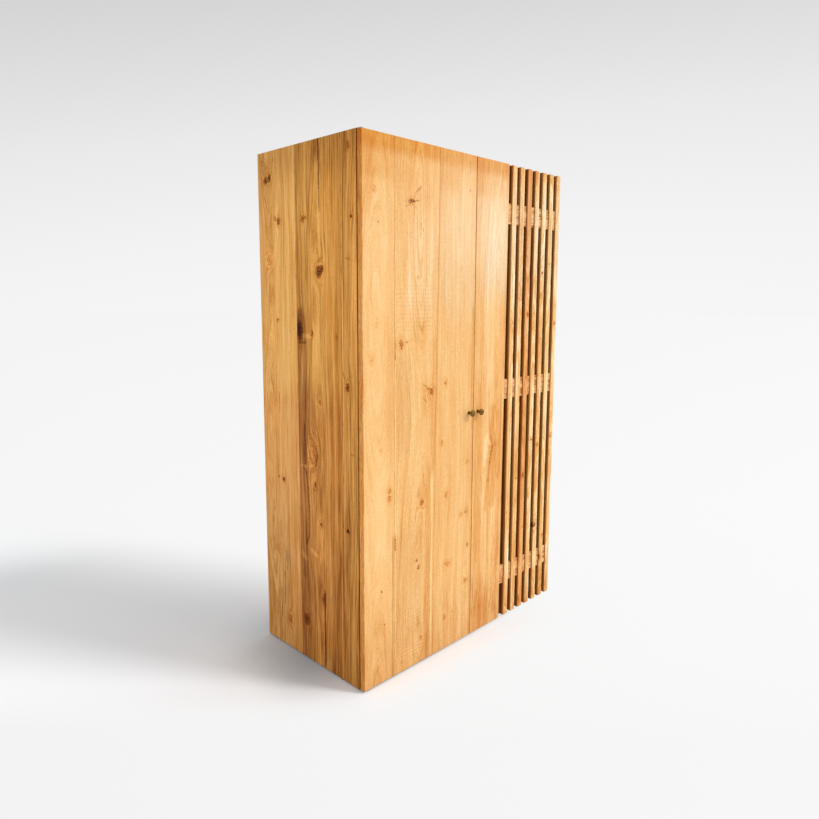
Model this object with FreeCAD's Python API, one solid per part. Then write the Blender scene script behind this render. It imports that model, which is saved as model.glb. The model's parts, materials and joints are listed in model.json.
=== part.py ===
import FreeCAD, Part
import math
import os

# A free-standing two-door cupboard in solid wood, in millimetres.
# X runs along the front, Y runs from the front to the back and Z runs up from the floor.
# The origin is the middle of the footprint, knobs included, at floor level.
# The left door is a slab of boards held flat by ledges. The right door is one board beside an
# open lattice of upright slats lapped onto cross rails. Both doors turn on pins at their ends.

Vector = FreeCAD.Vector

# --- Driving dimensions -------------------------------------------------------------------

# Overall
cabinet_width = 1200.0
cabinet_height = 2000.0
carcass_depth = 599.0

# Carcass boards
side_thickness = 22.0
top_thickness = 22.0
base_thickness = 22.0
partition_thickness = 22.0
housing_depth = 6.0
left_side_rear_width = 245.0
left_side_front_width = 84.0
right_side_rear_width = 168.0
right_side_front_width = 206.0
top_rear_width = 322.0
base_rear_width = 288.0
edge_ease = 0.8

# Back
back_thickness = 10.0
back_rebate = 12.0
back_board_count = 5
back_lap = 9.0

# Floor glides
glide_height = 5.0
glide_diameter = 20.0
glide_front_inset = 105.0
glide_rear_inset = 60.0
glide_spike_diameter = 2.5
glide_spike_length = 12.0

# Doors
door_thickness = 22.0
door_gap = 4.0
meeting_gap = 3.0
left_outer_width = 152.0
left_inner_width = 225.0
left_inner_taper = 25.0
right_board_taper = 10.0

# Cross rails and ledges
rail_height = 85.0
lower_rail_centre = 207.0
upper_rail_drop = 203.0
middle_rail_raise = 51.0
ledge_thickness = 20.0
ledge_clearance = 10.0

# Lattice
slat_count = 7
slat_width = 30.0
slat_gap = 25.5
slat_lap = 11.0
rail_recess = 5.0
tenon_length = 28.0
tenon_thickness = 8.0
tenon_shoulder = 12.0

# Pivots
pivot_inset = 9.0
plate_thickness = 2.5
plate_width = 14.0
plate_length = 60.0
plate_screw_inset = 14.0
pin_diameter = 7.0
pin_length = 15.0
bush_diameter = 12.0
bush_length = 18.0
bush_proud = 0.5
thrust_gap = 0.3
running_clearance = 0.05
bush_well = 2.0

# Knobs
knob_inset = 27.0
knob_drop = 75.0
knob_projection = 24.0
knob_head_diameter = 27.0
knob_neck_diameter = 9.0
knob_foot_diameter = 15.0
knob_foot_thickness = 2.0
knob_rim_thickness = 3.5
knob_dome = 2.0
knob_flare = 8.0
knob_screw_diameter = 4.0
knob_screw_reach = 11.0
knob_screw_head_diameter = 8.0
knob_screw_head_height = 2.4

# Magnetic catches
catch_width = 46.0
catch_depth = 16.0
catch_height = 10.0
catch_offset = 6.0
catch_gap = 0.3
catch_screw_inset = 9.0
strike_width = 38.0
strike_thickness = 1.5
strike_spike_diameter = 2.5
strike_spike_length = 10.0
strike_spike_inset = 8.0

# Shelves
left_shelf_count = 4
shelf_thickness = 20.0
shelf_setback = 30.0
shelf_end_gap = 1.0
hat_shelf_drop = 330.0
shelf_pin_diameter = 5.0
shelf_pin_depth = 9.0
shelf_pin_reach = 10.0
shelf_pin_pad_width = 12.0
shelf_pin_pad_thickness = 3.0
shelf_pin_inset = 60.0

# Hanging rail
hanging_rail_diameter = 25.0
hanging_rail_wall = 1.5
hanging_rail_drop = 60.0
socket_diameter = 48.0
socket_flange = 3.0
socket_cup_wall = 2.5
socket_cup_length = 14.0
socket_screw_circle = 37.0
socket_end_gap = 0.5

# Screws
screw_diameter = 3.5
screw_head_diameter = 7.0
screw_head_height = 2.0
screw_point = 4.0
hardware_screw_length = 20.0
ledge_screw_diameter = 4.5
ledge_screw_head_diameter = 9.0
ledge_screw_head_height = 2.6
ledge_screw_bite = 14.0
fit_gap = 0.05

# --- Places worked out from the sizes -----------------------------------------------------

half_width = cabinet_width / 2
total_depth = knob_projection + door_thickness + door_gap + carcass_depth
door_front = knob_projection - total_depth / 2
door_back = door_front + door_thickness
carcass_front = door_back + door_gap
carcass_back = carcass_front + carcass_depth

side_inner = half_width - side_thickness
base_bottom = glide_height
base_top = base_bottom + base_thickness
top_under = cabinet_height - top_thickness
back_inner = carcass_back - back_thickness

door_end_gap = plate_thickness + thrust_gap + bush_proud
door_bottom = base_bottom + door_end_gap
door_top = cabinet_height - door_end_gap
door_edge = meeting_gap / 2
pivot_x = half_width - pivot_inset
pivot_y = door_front + door_thickness / 2

upper_rail_centre = cabinet_height - upper_rail_drop
middle_rail_centre = (lower_rail_centre + upper_rail_centre) / 2 + middle_rail_raise
rail_centres = {
    "lower": lower_rail_centre,
    "middle": middle_rail_centre,
    "upper": upper_rail_centre,
}
slat_pitch = slat_width + slat_gap
lattice_start = half_width - slat_count * slat_pitch
slat_starts = [lattice_start + slat_gap + i * slat_pitch for i in range(slat_count)]
lap_plane = door_front + slat_lap

knob_x = door_edge + knob_inset
knob_z = middle_rail_centre - knob_drop
hat_shelf_top = top_under - hat_shelf_drop
hanging_rail_z = hat_shelf_top - shelf_thickness - hanging_rail_drop
hanging_rail_y = (carcass_front + back_inner) / 2

# --- Small tools --------------------------------------------------------------------------


def block(x_range, y_range, z_range):
    """A box between two limits on each axis, given in any order."""
    low = Vector(min(x_range), min(y_range), min(z_range))
    high = Vector(max(x_range), max(y_range), max(z_range))
    size = high - low
    return Part.makeBox(size.x, size.y, size.z, low)


def turned(profile, at, towards):
    """A solid of revolution. profile is a closed list of (distance along the axis, radius)."""
    points = [Vector(radius, 0, distance) for distance, radius in profile]
    outline = Part.makePolygon(points + points[:1])
    solid = Part.Face(outline).revolve(Vector(0, 0, 0), Vector(0, 0, 1), 360)
    return placed(solid, at, towards)


def placed(solid, at, towards):
    """Moves a solid that was made along +Z from the origin."""
    solid.Placement = FreeCAD.Placement(at, FreeCAD.Rotation(Vector(0, 0, 1), towards))
    return solid


def without(solid, tools):
    """The solid less those tools that reach it."""
    near = [tool for tool in tools if tool.BoundBox.intersect(solid.BoundBox)]
    if not near:
        return solid
    left = solid.cut(near).Solids
    return left[0] if len(left) == 1 else Part.makeCompound(left)


def drill(pieces, holes):
    """Cuts the holes from every piece of wood or plate that they reach."""
    for name in pieces:
        pieces[name] = without(pieces[name], holes)


def eased(solid, on_show):
    """Takes the sharp edge off the long edges whose middle satisfies on_show."""
    edges = [edge for edge in solid.Edges if on_show(edge.CenterOfMass)]
    return solid.makeChamfer(edge_ease, edges)


def same(a, b):
    return abs(a - b) < 1e-6


def screw(length, diameter, head_diameter, head_height, at, towards, gap=0.0):
    """A countersunk screw whose head lies flush at the given place. gap makes its hole."""
    shank = diameter / 2 + gap
    point_start = length - screw_point
    profile = [
        (0, 0),
        (0, head_diameter / 2 + gap),
        (head_height, shank),
        (point_start, shank),
        (length + gap, 0),
    ]
    return turned(profile, at, towards)


def hardware_screw(at, towards, gap=0.0):
    """The one small screw that holds plates, catches, sockets and back boards."""
    return screw(
        hardware_screw_length,
        screw_diameter,
        screw_head_diameter,
        screw_head_height,
        at,
        towards,
        gap,
    )


def ledge_screw(at, gap=0.0):
    """A longer screw through a ledge into the door boards."""
    return screw(
        ledge_thickness + ledge_screw_bite,
        ledge_screw_diameter,
        ledge_screw_head_diameter,
        ledge_screw_head_height,
        at,
        Vector(0, -1, 0),
        gap,
    )


# --- Carcass ------------------------------------------------------------------------------

side_housing = half_width - side_thickness + housing_depth
bay_depth = (carcass_front, back_inner)
full_depth = (carcass_front, carcass_back)
top_space = block((-side_housing, side_housing), full_depth, (top_under, cabinet_height))
base_space = block((-side_housing, side_housing), full_depth, (base_bottom, base_top))
back_half_width = side_inner + back_rebate
back_heights = (base_top - back_rebate, top_under + back_rebate)
back_space = block((-back_half_width, back_half_width), (back_inner, carcass_back), back_heights)
partition_heights = (base_top - housing_depth, top_under + housing_depth)
partition_space = block(
    (-partition_thickness / 2, partition_thickness / 2), bay_depth, partition_heights
)


def side_boards(name, side, rear_width, front_width):
    """Three upright boards, from the rear, glued edge to edge."""
    seams = [
        carcass_back,
        carcass_back - rear_width,
        carcass_front + front_width,
        carcass_front,
    ]
    outer = side * half_width
    boards = {}
    for place, rear, front in zip(("rear", "middle", "front"), seams, seams[1:]):
        board = block((outer, side * side_inner), (front, rear), (base_bottom, cabinet_height))
        middle_z = (base_bottom + cabinet_height) / 2
        board = eased(board, lambda c: same(c.x, outer) and same(c.z, middle_z))
        boards[f"{name}_side_board_{place}"] = without(board, [top_space, base_space, back_space])
    return boards


def flat_boards(name, heights, rear_width):
    """Two boards that run between the sides, as the top or the base."""
    seam = carcass_back - rear_width
    boards = {}
    for place, limits in (("rear", (seam, carcass_back)), ("front", (carcass_front, seam))):
        board = block((-side_housing, side_housing), limits, heights)
        boards[f"{name}_board_{place}"] = without(board, [back_space, partition_space])
    return boards


def back_boards():
    """Upright boards, each lapped over the next, that fill the rebate."""
    width = 2 * back_half_width / back_board_count
    lap_plane_y = back_inner + back_thickness / 2
    boards = {}
    for i in range(back_board_count):
        left = -back_half_width + i * width
        right = left + width
        inner_left = left + back_lap if i > 0 else left
        inner_right = right + back_lap if i < back_board_count - 1 else right
        outer_half = block((left, right), (lap_plane_y, carcass_back), back_heights)
        inner_half = block((inner_left, inner_right), (back_inner, lap_plane_y), back_heights)
        boards[f"back_board_{i + 1}"] = outer_half.fuse(inner_half).removeSplitter()
    return boards


def back_screw_places():
    """Two screws in each end of each back board."""
    width = 2 * back_half_width / back_board_count
    for i in range(back_board_count):
        for share in (0.3, 0.7):
            x = -back_half_width + (i + share) * width
            for z in (base_top - back_rebate / 2, top_under + back_rebate / 2):
                yield Vector(x, carcass_back, z)


def glide_places():
    """Under both sides and under the partition, front and rear."""
    side_middle = half_width - side_thickness / 2
    for x in (-side_middle, 0.0, side_middle):
        for y in (carcass_front + glide_front_inset, carcass_back - glide_rear_inset):
            yield Vector(x, y, base_bottom)


def glide(at, gap=0.0):
    """A plastic disc on the floor with a spike up into the wood."""
    spike = glide_spike_diameter / 2 + gap
    disc = glide_diameter / 2
    profile = [
        (-glide_height, 0),
        (-glide_height, disc - edge_ease),
        (edge_ease - glide_height, disc),
        (0, disc),
        (0, spike),
        (glide_spike_length + gap, spike),
        (glide_spike_length + gap, 0),
    ]
    return turned(profile, at, Vector(0, 0, 1))


# --- Shelves ------------------------------------------------------------------------------

shelf_depths = (carcass_front + shelf_setback, back_inner - shelf_end_gap)
bay_inner = partition_thickness / 2


def left_shelf_tops():
    """Heights that leave equal spaces above, between and below the left shelves."""
    free = top_under - base_top - left_shelf_count * shelf_thickness
    space = free / (left_shelf_count + 1)
    return [base_top + (i + 1) * (space + shelf_thickness) for i in range(left_shelf_count)]


def shelf(side, top):
    """A loose shelf between the partition and the side panel."""
    limits = (side * (bay_inner + shelf_end_gap), side * (side_inner - shelf_end_gap))
    board = block(limits, shelf_depths, (top - shelf_thickness, top))
    front = shelf_depths[0]
    middle_x = sum(limits) / 2
    return eased(board, lambda c: same(c.y, front) and same(c.x, middle_x))


def shelf_pin(wall_x, into, y, shelf_under, gap=0.0):
    """A pin in the wall with a flat pad that carries the shelf. into is +1 or -1 along X."""
    radius = shelf_pin_diameter / 2 + gap
    centre = shelf_under - shelf_pin_pad_thickness
    start = Vector(wall_x, y, centre)
    stem = Part.makeCylinder(radius, shelf_pin_depth + gap, start, Vector(into, 0, 0))
    half_pad = shelf_pin_pad_width / 2
    pad = block(
        (wall_x, wall_x - into * shelf_pin_reach),
        (y - half_pad, y + half_pad),
        (shelf_under - shelf_pin_pad_thickness, shelf_under),
    )
    return stem.fuse(pad).removeSplitter()


def shelf_pins(gap=0.0):
    """Four pins under every shelf."""
    pins = []
    shelves = [(-1, top) for top in left_shelf_tops()] + [(1, hat_shelf_top)]
    for side, top in shelves:
        for wall_x, into in ((side * bay_inner, -side), (side * side_inner, side)):
            for y in (shelf_depths[0] + shelf_pin_inset, shelf_depths[1] - shelf_pin_inset):
                pins.append(shelf_pin(wall_x, into, y, top - shelf_thickness, gap))
    return pins


# --- Hanging rail -------------------------------------------------------------------------


def hanging_rail():
    """A round tube that stops just short of the bottom of each socket."""
    inset = socket_flange + socket_end_gap
    start = Vector(bay_inner + inset, hanging_rail_y, hanging_rail_z)
    length = side_inner - bay_inner - 2 * inset
    outer = hanging_rail_diameter / 2
    tube = Part.makeCylinder(outer, length, start, Vector(1, 0, 0))
    core = Part.makeCylinder(outer - hanging_rail_wall, length, start, Vector(1, 0, 0))
    return tube.cut(core)


def rail_socket(wall_x, away):
    """A flanged cup on the wall that the tube's end drops into. away is +1 or -1 along X."""
    cup_inner = hanging_rail_diameter / 2 + fit_gap
    cup_outer = cup_inner + socket_cup_wall
    profile = [
        (0, 0),
        (0, socket_diameter / 2),
        (socket_flange, socket_diameter / 2),
        (socket_flange, cup_outer),
        (socket_cup_length, cup_outer),
        (socket_cup_length, cup_inner),
        (socket_flange, cup_inner),
        (socket_flange, 0),
    ]
    return turned(profile, Vector(wall_x, hanging_rail_y, hanging_rail_z), Vector(away, 0, 0))


def socket_screws(gap=0.0):
    """Two screws through each socket's flange, one above and one below the tube."""
    screws = []
    for wall_x, away in ((bay_inner, 1), (side_inner, -1)):
        for z in (-socket_screw_circle / 2, socket_screw_circle / 2):
            at = Vector(wall_x + away * socket_flange, hanging_rail_y, hanging_rail_z + z)
            screws.append(hardware_screw(at, Vector(-away, 0, 0), gap))
    return screws


# --- Pivots -------------------------------------------------------------------------------


def pivot_plate(side, end):
    """A plate let into the end of a side panel, with the pin that the door turns on.
    side is -1 at the left and +1 at the right; end is -1 at the floor and +1 at the top."""
    face = base_bottom if end < 0 else cabinet_height
    inner_face = face - end * plate_thickness
    x = side * pivot_x
    half = plate_width / 2
    bar = block((x - half, x + half), (pivot_y, carcass_front + plate_length), (face, inner_face))
    low = min(face, inner_face)
    nose = Part.makeCylinder(half, plate_thickness, Vector(x, pivot_y, low))
    return bar.fuse(nose).removeSplitter()


def pivot_pin(side, end):
    """The pin that stands on a pivot plate and points into the door."""
    face = base_bottom if end < 0 else cabinet_height
    at = Vector(side * pivot_x, pivot_y, face - end * plate_thickness)
    return Part.makeCylinder(pin_diameter / 2, pin_length, at, Vector(0, 0, -end))


def pivot_screws(side, end, gap=0.0):
    """Two screws through a pivot plate into the end of the side panel."""
    face = base_bottom if end < 0 else cabinet_height
    near = carcass_front + plate_screw_inset
    far = carcass_front + plate_length - plate_screw_inset
    places = [Vector(side * pivot_x, y, face) for y in (near, far)]
    return [hardware_screw(at, Vector(0, 0, -end), gap) for at in places]


def bush(side, end):
    """A sleeve in the door's end that runs on the pin and stands a little proud."""
    door_face = door_bottom if end < 0 else door_top
    inner = pin_diameter / 2 + running_clearance
    profile = [
        (-bush_proud, inner),
        (-bush_proud, bush_diameter / 2),
        (bush_length, bush_diameter / 2),
        (bush_length, inner),
    ]
    return turned(profile, Vector(side * pivot_x, pivot_y, door_face), Vector(0, 0, -end))


def bush_holes(side):
    """The blind holes for both bushes of one door, with a well past the end of the bush."""
    radius = bush_diameter / 2 + fit_gap
    depth = bush_length + bush_well
    holes = []
    for end, face in ((-1, door_bottom), (1, door_top)):
        at = Vector(side * pivot_x, pivot_y, face)
        holes.append(Part.makeCylinder(radius, depth, at, Vector(0, 0, -end)))
    return holes


# --- Knobs --------------------------------------------------------------------------------


def knob(x):
    """A turned knob: a small foot, a neck, and a head that flares out to a domed face."""
    foot = knob_foot_diameter / 2
    neck = knob_neck_diameter / 2
    head = knob_head_diameter / 2
    rim_front = knob_projection - knob_dome
    rim_back = rim_front - knob_rim_thickness
    flare_start = rim_back - knob_flare
    flare = Part.Arc(
        Vector(neck, 0, flare_start),
        Vector((neck + head) / 2, 0, rim_back - knob_flare * 0.3),
        Vector(head, 0, rim_back),
    )
    dome_radius = (head**2 + knob_dome**2) / (2 * knob_dome)
    half_turn = math.asin(head / dome_radius) / 2
    dome_drop = dome_radius * (1 - math.cos(half_turn))
    dome = Part.Arc(
        Vector(head, 0, rim_front),
        Vector(dome_radius * math.sin(half_turn), 0, knob_projection - dome_drop),
        Vector(0, 0, knob_projection),
    )
    corners = [
        Vector(0, 0, knob_projection),
        Vector(0, 0, 0),
        Vector(foot, 0, 0),
        Vector(foot, 0, knob_foot_thickness),
        Vector(neck, 0, knob_foot_thickness),
        Vector(neck, 0, flare_start),
    ]
    lines = [Part.LineSegment(a, b) for a, b in zip(corners, corners[1:])]
    rim = Part.LineSegment(Vector(head, 0, rim_back), Vector(head, 0, rim_front))
    outline = Part.Wire([curve.toShape() for curve in lines + [flare, rim, dome]])
    solid = Part.Face(outline).revolve(Vector(0, 0, 0), Vector(0, 0, 1), 360)
    return placed(solid, Vector(x, door_front, knob_z), Vector(0, -1, 0))


def knob_screw(x, gap=0.0):
    """A machine screw from the back of the door into the knob."""
    shank = knob_screw_diameter / 2 + gap
    head = knob_screw_head_diameter / 2
    reach = door_thickness + knob_screw_reach + gap
    profile = [
        (-knob_screw_head_height, 0),
        (-knob_screw_head_height, head - edge_ease),
        (edge_ease - knob_screw_head_height, head),
        (0, head),
        (0, shank),
        (reach, shank),
        (reach, 0),
    ]
    return turned(profile, Vector(x, door_back, knob_z), Vector(0, -1, 0))


# --- Catches ------------------------------------------------------------------------------

catch_start = bay_inner + catch_offset
catch_middle = catch_start + catch_width / 2
catch_z = top_under - catch_height / 2
catch_front = door_back + strike_thickness + catch_gap


def magnet_catch(side):
    """A block under the top whose face nearly meets the strike plate."""
    limits = (side * catch_start, side * (catch_start + catch_width))
    depths = (catch_front, catch_front + catch_depth)
    return block(limits, depths, (top_under - catch_height, top_under))


def catch_screws(side, gap=0.0):
    """Two screws up through the block into the top."""
    spread = catch_width / 2 - catch_screw_inset
    y = carcass_front + (catch_front + catch_depth - carcass_front) / 2
    places = [
        Vector(side * catch_middle + offset, y, top_under - catch_height)
        for offset in (-spread, spread)
    ]
    return [hardware_screw(at, Vector(0, 0, 1), gap) for at in places]


def strike_plate(side, gap=0.0):
    """A steel plate on the door's back, held by two spikes that are part of it."""
    middle = side * catch_middle
    half = strike_width / 2
    plate = block(
        (middle - half, middle + half),
        (door_back, door_back + strike_thickness),
        (top_under - catch_height, top_under),
    )
    radius = strike_spike_diameter / 2 + gap
    for offset in (strike_spike_inset - half, half - strike_spike_inset):
        at = Vector(middle + offset, door_back, catch_z)
        spike = Part.makeCylinder(radius, strike_spike_length + gap, at, Vector(0, -1, 0))
        plate = plate.fuse(spike)
    return plate.removeSplitter()


# --- Left door ----------------------------------------------------------------------------

ledge_limits = (-side_inner + ledge_clearance, -bay_inner - ledge_clearance)


def left_seams(rise):
    """The edges and seams of the left door along X. rise is -1 at its foot and +1 at its top.
    The inner board is wider at its foot."""
    inner_width = left_inner_width - rise * left_inner_taper / 2
    return [
        -half_width,
        -half_width + left_outer_width,
        -door_edge - inner_width,
        -door_edge,
    ]


def upright(foot, top):
    """A full-height door board, from its limits along X at its two ends. Its long front
    edges are eased."""
    corners = [
        Vector(foot[0], door_front, door_bottom),
        Vector(foot[1], door_front, door_bottom),
        Vector(top[1], door_front, door_top),
        Vector(top[0], door_front, door_top),
    ]
    outline = Part.makePolygon(corners + corners[:1])
    board = Part.Face(outline).extrude(Vector(0, door_thickness, 0))
    middle_z = (door_bottom + door_top) / 2
    return eased(board, lambda c: same(c.y, door_front) and same(c.z, middle_z))


def left_door_boards():
    foot = left_seams(-1)
    top = left_seams(1)
    places = ("outer", "middle", "inner")
    return {
        f"left_door_board_{place}": upright(foot[i : i + 2], top[i : i + 2])
        for i, place in enumerate(places)
    }


def ledge(centre):
    """A cross piece on the back of the left door."""
    heights = (centre - rail_height / 2, centre + rail_height / 2)
    depths = (door_back, door_back + ledge_thickness)
    board = block(ledge_limits, depths, heights)
    return eased(board, lambda c: same(c.y, depths[1]))


def ledge_screws(gap=0.0):
    """Two screws from each ledge into each door board, set on a slant."""
    seams = left_seams(0)
    screws = []
    for centre in rail_centres.values():
        for start, end in zip(seams, seams[1:]):
            low = max(start, ledge_limits[0])
            high = min(end, ledge_limits[1])
            for share, rise in ((0.25, -0.25), (0.75, 0.25)):
                x = low + (high - low) * share
                z = centre + rail_height * rise
                at = Vector(x, door_back + ledge_thickness, z)
                screws.append(ledge_screw(at, gap))
    return screws


# --- Right door ---------------------------------------------------------------------------


def board_blank():
    """The solid board at the meeting edge, a little narrower at its foot."""
    foot = (door_edge, lattice_start - right_board_taper)
    return upright(foot, (door_edge, lattice_start))


def tenon(centre):
    """The end of a cross rail that goes into the solid board."""
    drop = (door_top - centre) / (door_top - door_bottom)
    shoulder = lattice_start - right_board_taper * drop
    middle_y = (door_front + rail_recess + door_back) / 2
    half = rail_height / 2 - tenon_shoulder
    return block(
        (shoulder - tenon_length, lattice_start),
        (middle_y - tenon_thickness / 2, middle_y + tenon_thickness / 2),
        (centre - half, centre + half),
    )


def slat(start):
    """An upright slat, notched at the back where each cross rail passes."""
    limits = (start, start + slat_width)
    notches = [
        block(limits, (lap_plane, door_back), (centre - rail_height / 2, centre + rail_height / 2))
        for centre in rail_centres.values()
    ]
    return without(upright(limits, limits), notches)


def lattice_rail(centre):
    """A cross rail, notched at the front where each slat passes, with a tenon at one end.
    Its shoulder follows the edge of the solid board."""
    heights = (centre - rail_height / 2, centre + rail_height / 2)
    depths = (door_front + rail_recess, door_back)
    bar = block((lattice_start - right_board_taper, half_width), depths, heights)
    notches = [
        block((start, start + slat_width), (depths[0], lap_plane), heights)
        for start in slat_starts
    ]
    return bar.cut(notches + [board_blank()]).fuse(tenon(centre)).removeSplitter()


def right_door_board():
    """The solid board with a mortise for each cross rail."""
    mortises = [tenon(centre) for centre in rail_centres.values()]
    return without(board_blank(), mortises)


# --- Assembly -----------------------------------------------------------------------------

ENDS = {"lower": -1, "upper": 1}
SIDES = {"left": -1, "right": 1}


def carcass():
    """Everything that stands still."""
    wood = side_boards("left", -1, left_side_rear_width, left_side_front_width)
    wood |= side_boards("right", 1, right_side_rear_width, right_side_front_width)
    wood |= flat_boards("top", (top_under, cabinet_height), top_rear_width)
    wood |= flat_boards("base", (base_bottom, base_top), base_rear_width)
    wood |= back_boards()
    wood["centre_partition"] = partition_space.copy()
    for i, top in enumerate(left_shelf_tops()):
        wood[f"left_shelf_{i + 1}"] = shelf(-1, top)
    wood["hat_shelf"] = shelf(1, hat_shelf_top)

    plates = {}
    plate_spaces = []
    for side_name, side in SIDES.items():
        wood[f"{side_name}_magnet_catch"] = magnet_catch(side)
        for end_name, end in ENDS.items():
            flat = pivot_plate(side, end)
            plate_spaces.append(flat)
            plate = flat.fuse(pivot_pin(side, end)).removeSplitter()
            plates[f"{side_name}_{end_name}_pivot_plate"] = plate
    drill(wood, plate_spaces)

    holes = fixing_screws(fit_gap) + back_screws(fit_gap) + shelf_pins(fit_gap)
    holes += [glide(at, fit_gap) for at in glide_places()]
    pieces = wood | plates
    drill(pieces, holes)

    sockets = [rail_socket(bay_inner, 1), rail_socket(side_inner, -1)]
    bored_sockets = [without(socket, holes) for socket in sockets]
    pieces["hanging_rail"] = hanging_rail()
    pieces["hanging_rail_sockets"] = Part.makeCompound(bored_sockets)
    pieces["shelf_pins"] = Part.makeCompound(shelf_pins())
    pieces["floor_glides"] = Part.makeCompound([glide(at) for at in glide_places()])
    pieces["hardware_screws"] = Part.makeCompound(fixing_screws())
    pieces["back_board_screws"] = Part.makeCompound(back_screws())
    return pieces


def fixing_screws(gap=0.0):
    """The screws of the pivot plates, the catches and the rail sockets."""
    screws = socket_screws(gap)
    for side in SIDES.values():
        screws += catch_screws(side, gap)
        for end in ENDS.values():
            screws += pivot_screws(side, end, gap)
    return screws


def back_screws(gap=0.0):
    """The screws that hold the back boards to the top and the base."""
    return [hardware_screw(at, Vector(0, -1, 0), gap) for at in back_screw_places()]


def door(name, boards, extra_holes):
    """Drills a door's boards for its hardware and adds that hardware."""
    side = SIDES[name]
    knob_place = side * knob_x
    holes = bush_holes(side) + [strike_plate(side, fit_gap), knob_screw(knob_place, fit_gap)]
    drill(boards, holes + extra_holes)
    bushes = [bush(side, end) for end in ENDS.values()]
    return boards | {
        f"{name}_knob": without(knob(knob_place), [knob_screw(knob_place, fit_gap)]),
        f"{name}_knob_screw": knob_screw(knob_place),
        f"{name}_strike_plate": strike_plate(side),
        f"{name}_pivot_bushes": Part.makeCompound(bushes),
    }


def left_door():
    boards = left_door_boards()
    for name, centre in rail_centres.items():
        boards[f"left_door_ledge_{name}"] = ledge(centre)
    pieces = door("left", boards, ledge_screws(fit_gap))
    pieces["left_door_ledge_screws"] = Part.makeCompound(ledge_screws())
    return pieces


def right_door():
    boards = {"right_door_board": right_door_board()}
    for i, start in enumerate(slat_starts):
        boards[f"right_door_slat_{i + 1}"] = slat(start)
    for name, centre in rail_centres.items():
        boards[f"lattice_rail_{name}"] = lattice_rail(centre)
    return door("right", boards, [])


os.makedirs("parts", exist_ok=True)
for node, shape in (carcass() | left_door() | right_door()).items():
    shape.exportStep(f"parts/{node}.step")
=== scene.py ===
"""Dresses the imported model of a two-door cupboard in old solid wood.

Boards keep the shape of their solids, with worn arrises, open cracks and sawn faces worked into
the mesh. Every wood is one procedural material in three dimensions, laid out board by board.
Lengths are in millimetres unless a name or comment says metres.
"""
import json
import math
import random
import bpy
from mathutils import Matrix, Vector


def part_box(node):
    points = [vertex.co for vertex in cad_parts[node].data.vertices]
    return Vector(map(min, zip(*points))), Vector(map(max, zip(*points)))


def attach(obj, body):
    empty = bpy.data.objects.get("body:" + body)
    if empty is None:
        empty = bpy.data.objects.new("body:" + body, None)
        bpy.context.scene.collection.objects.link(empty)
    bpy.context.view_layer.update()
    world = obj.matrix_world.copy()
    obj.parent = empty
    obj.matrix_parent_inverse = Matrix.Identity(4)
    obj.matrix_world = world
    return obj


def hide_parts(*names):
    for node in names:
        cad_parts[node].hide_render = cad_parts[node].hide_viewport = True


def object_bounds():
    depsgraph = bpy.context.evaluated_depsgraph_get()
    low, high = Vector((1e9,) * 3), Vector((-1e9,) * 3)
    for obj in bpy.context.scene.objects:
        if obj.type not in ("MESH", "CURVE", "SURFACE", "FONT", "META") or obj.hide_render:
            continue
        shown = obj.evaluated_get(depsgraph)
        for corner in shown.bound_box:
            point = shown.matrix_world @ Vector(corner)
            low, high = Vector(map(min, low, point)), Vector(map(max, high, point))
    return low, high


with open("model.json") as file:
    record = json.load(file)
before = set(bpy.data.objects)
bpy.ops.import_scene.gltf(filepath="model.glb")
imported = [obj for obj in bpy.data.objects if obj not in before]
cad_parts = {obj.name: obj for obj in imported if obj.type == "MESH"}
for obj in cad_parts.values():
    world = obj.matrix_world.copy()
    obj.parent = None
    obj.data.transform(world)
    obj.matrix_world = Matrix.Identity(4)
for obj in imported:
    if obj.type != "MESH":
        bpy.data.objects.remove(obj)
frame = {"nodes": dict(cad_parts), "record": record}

import zlib
from collections import namedtuple
from types import SimpleNamespace

import bmesh
import bpy
from mathutils import Matrix, Vector, noise

CAD_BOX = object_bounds()
MM = 0.001
TAU = 2.0 * math.pi

# --- Places read from the frame -----------------------------------------------------------

LEFT_EDGE = CAD_BOX[0][0] / MM
RIGHT_EDGE = CAD_BOX[1][0] / MM
BACK_FACE = CAD_BOX[1][1] / MM
DOOR_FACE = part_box("right_door_board")[0].y / MM

# --- What marks a board carries -----------------------------------------------------------

# A knot: its centre, the radius of its core, how dark it is, how far it bends the rings, and
# how long it is for its width.
Knot = namedtuple("Knot", "across up size dark bend stretch", defaults=(1.25,))
# A drawn mark from one place to another: a crack, a streak or a scratch.
Stroke = namedtuple("Stroke", "tint across0 up0 across1 up1 width strength")
# A band of wood in another tone: how soft its sides and its ends are, and how far it drifts
# across for each millimetre up.
Band = namedtuple("Band", "tint left right low high strength edge fade lean",
                  defaults=(30.0, 0.0))
# Where the saw left ripples across the grain.
Sawn = namedtuple("Sawn", "left right low high share")
# A crack that is open in the mesh: it runs along the grain.
Check = namedtuple("Check", "across low high width depth")
# How the log lay in a board: the pith's place, its slow swing, and the ring spacing.
Log = namedtuple("Log", "across depth swing_across swing_depth wave phase spacing")


def marks(kind, rows):
    """The marks of one kind, from a row of numbers for each."""
    return tuple(kind(*numbers) for numbers in rows)


def tinted_marks(kind, groups):
    """The marks of one kind, from groups of rows that each start with their tint."""
    return tuple(kind(tint, *numbers) for tint, *rows in groups for numbers in rows)


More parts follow.
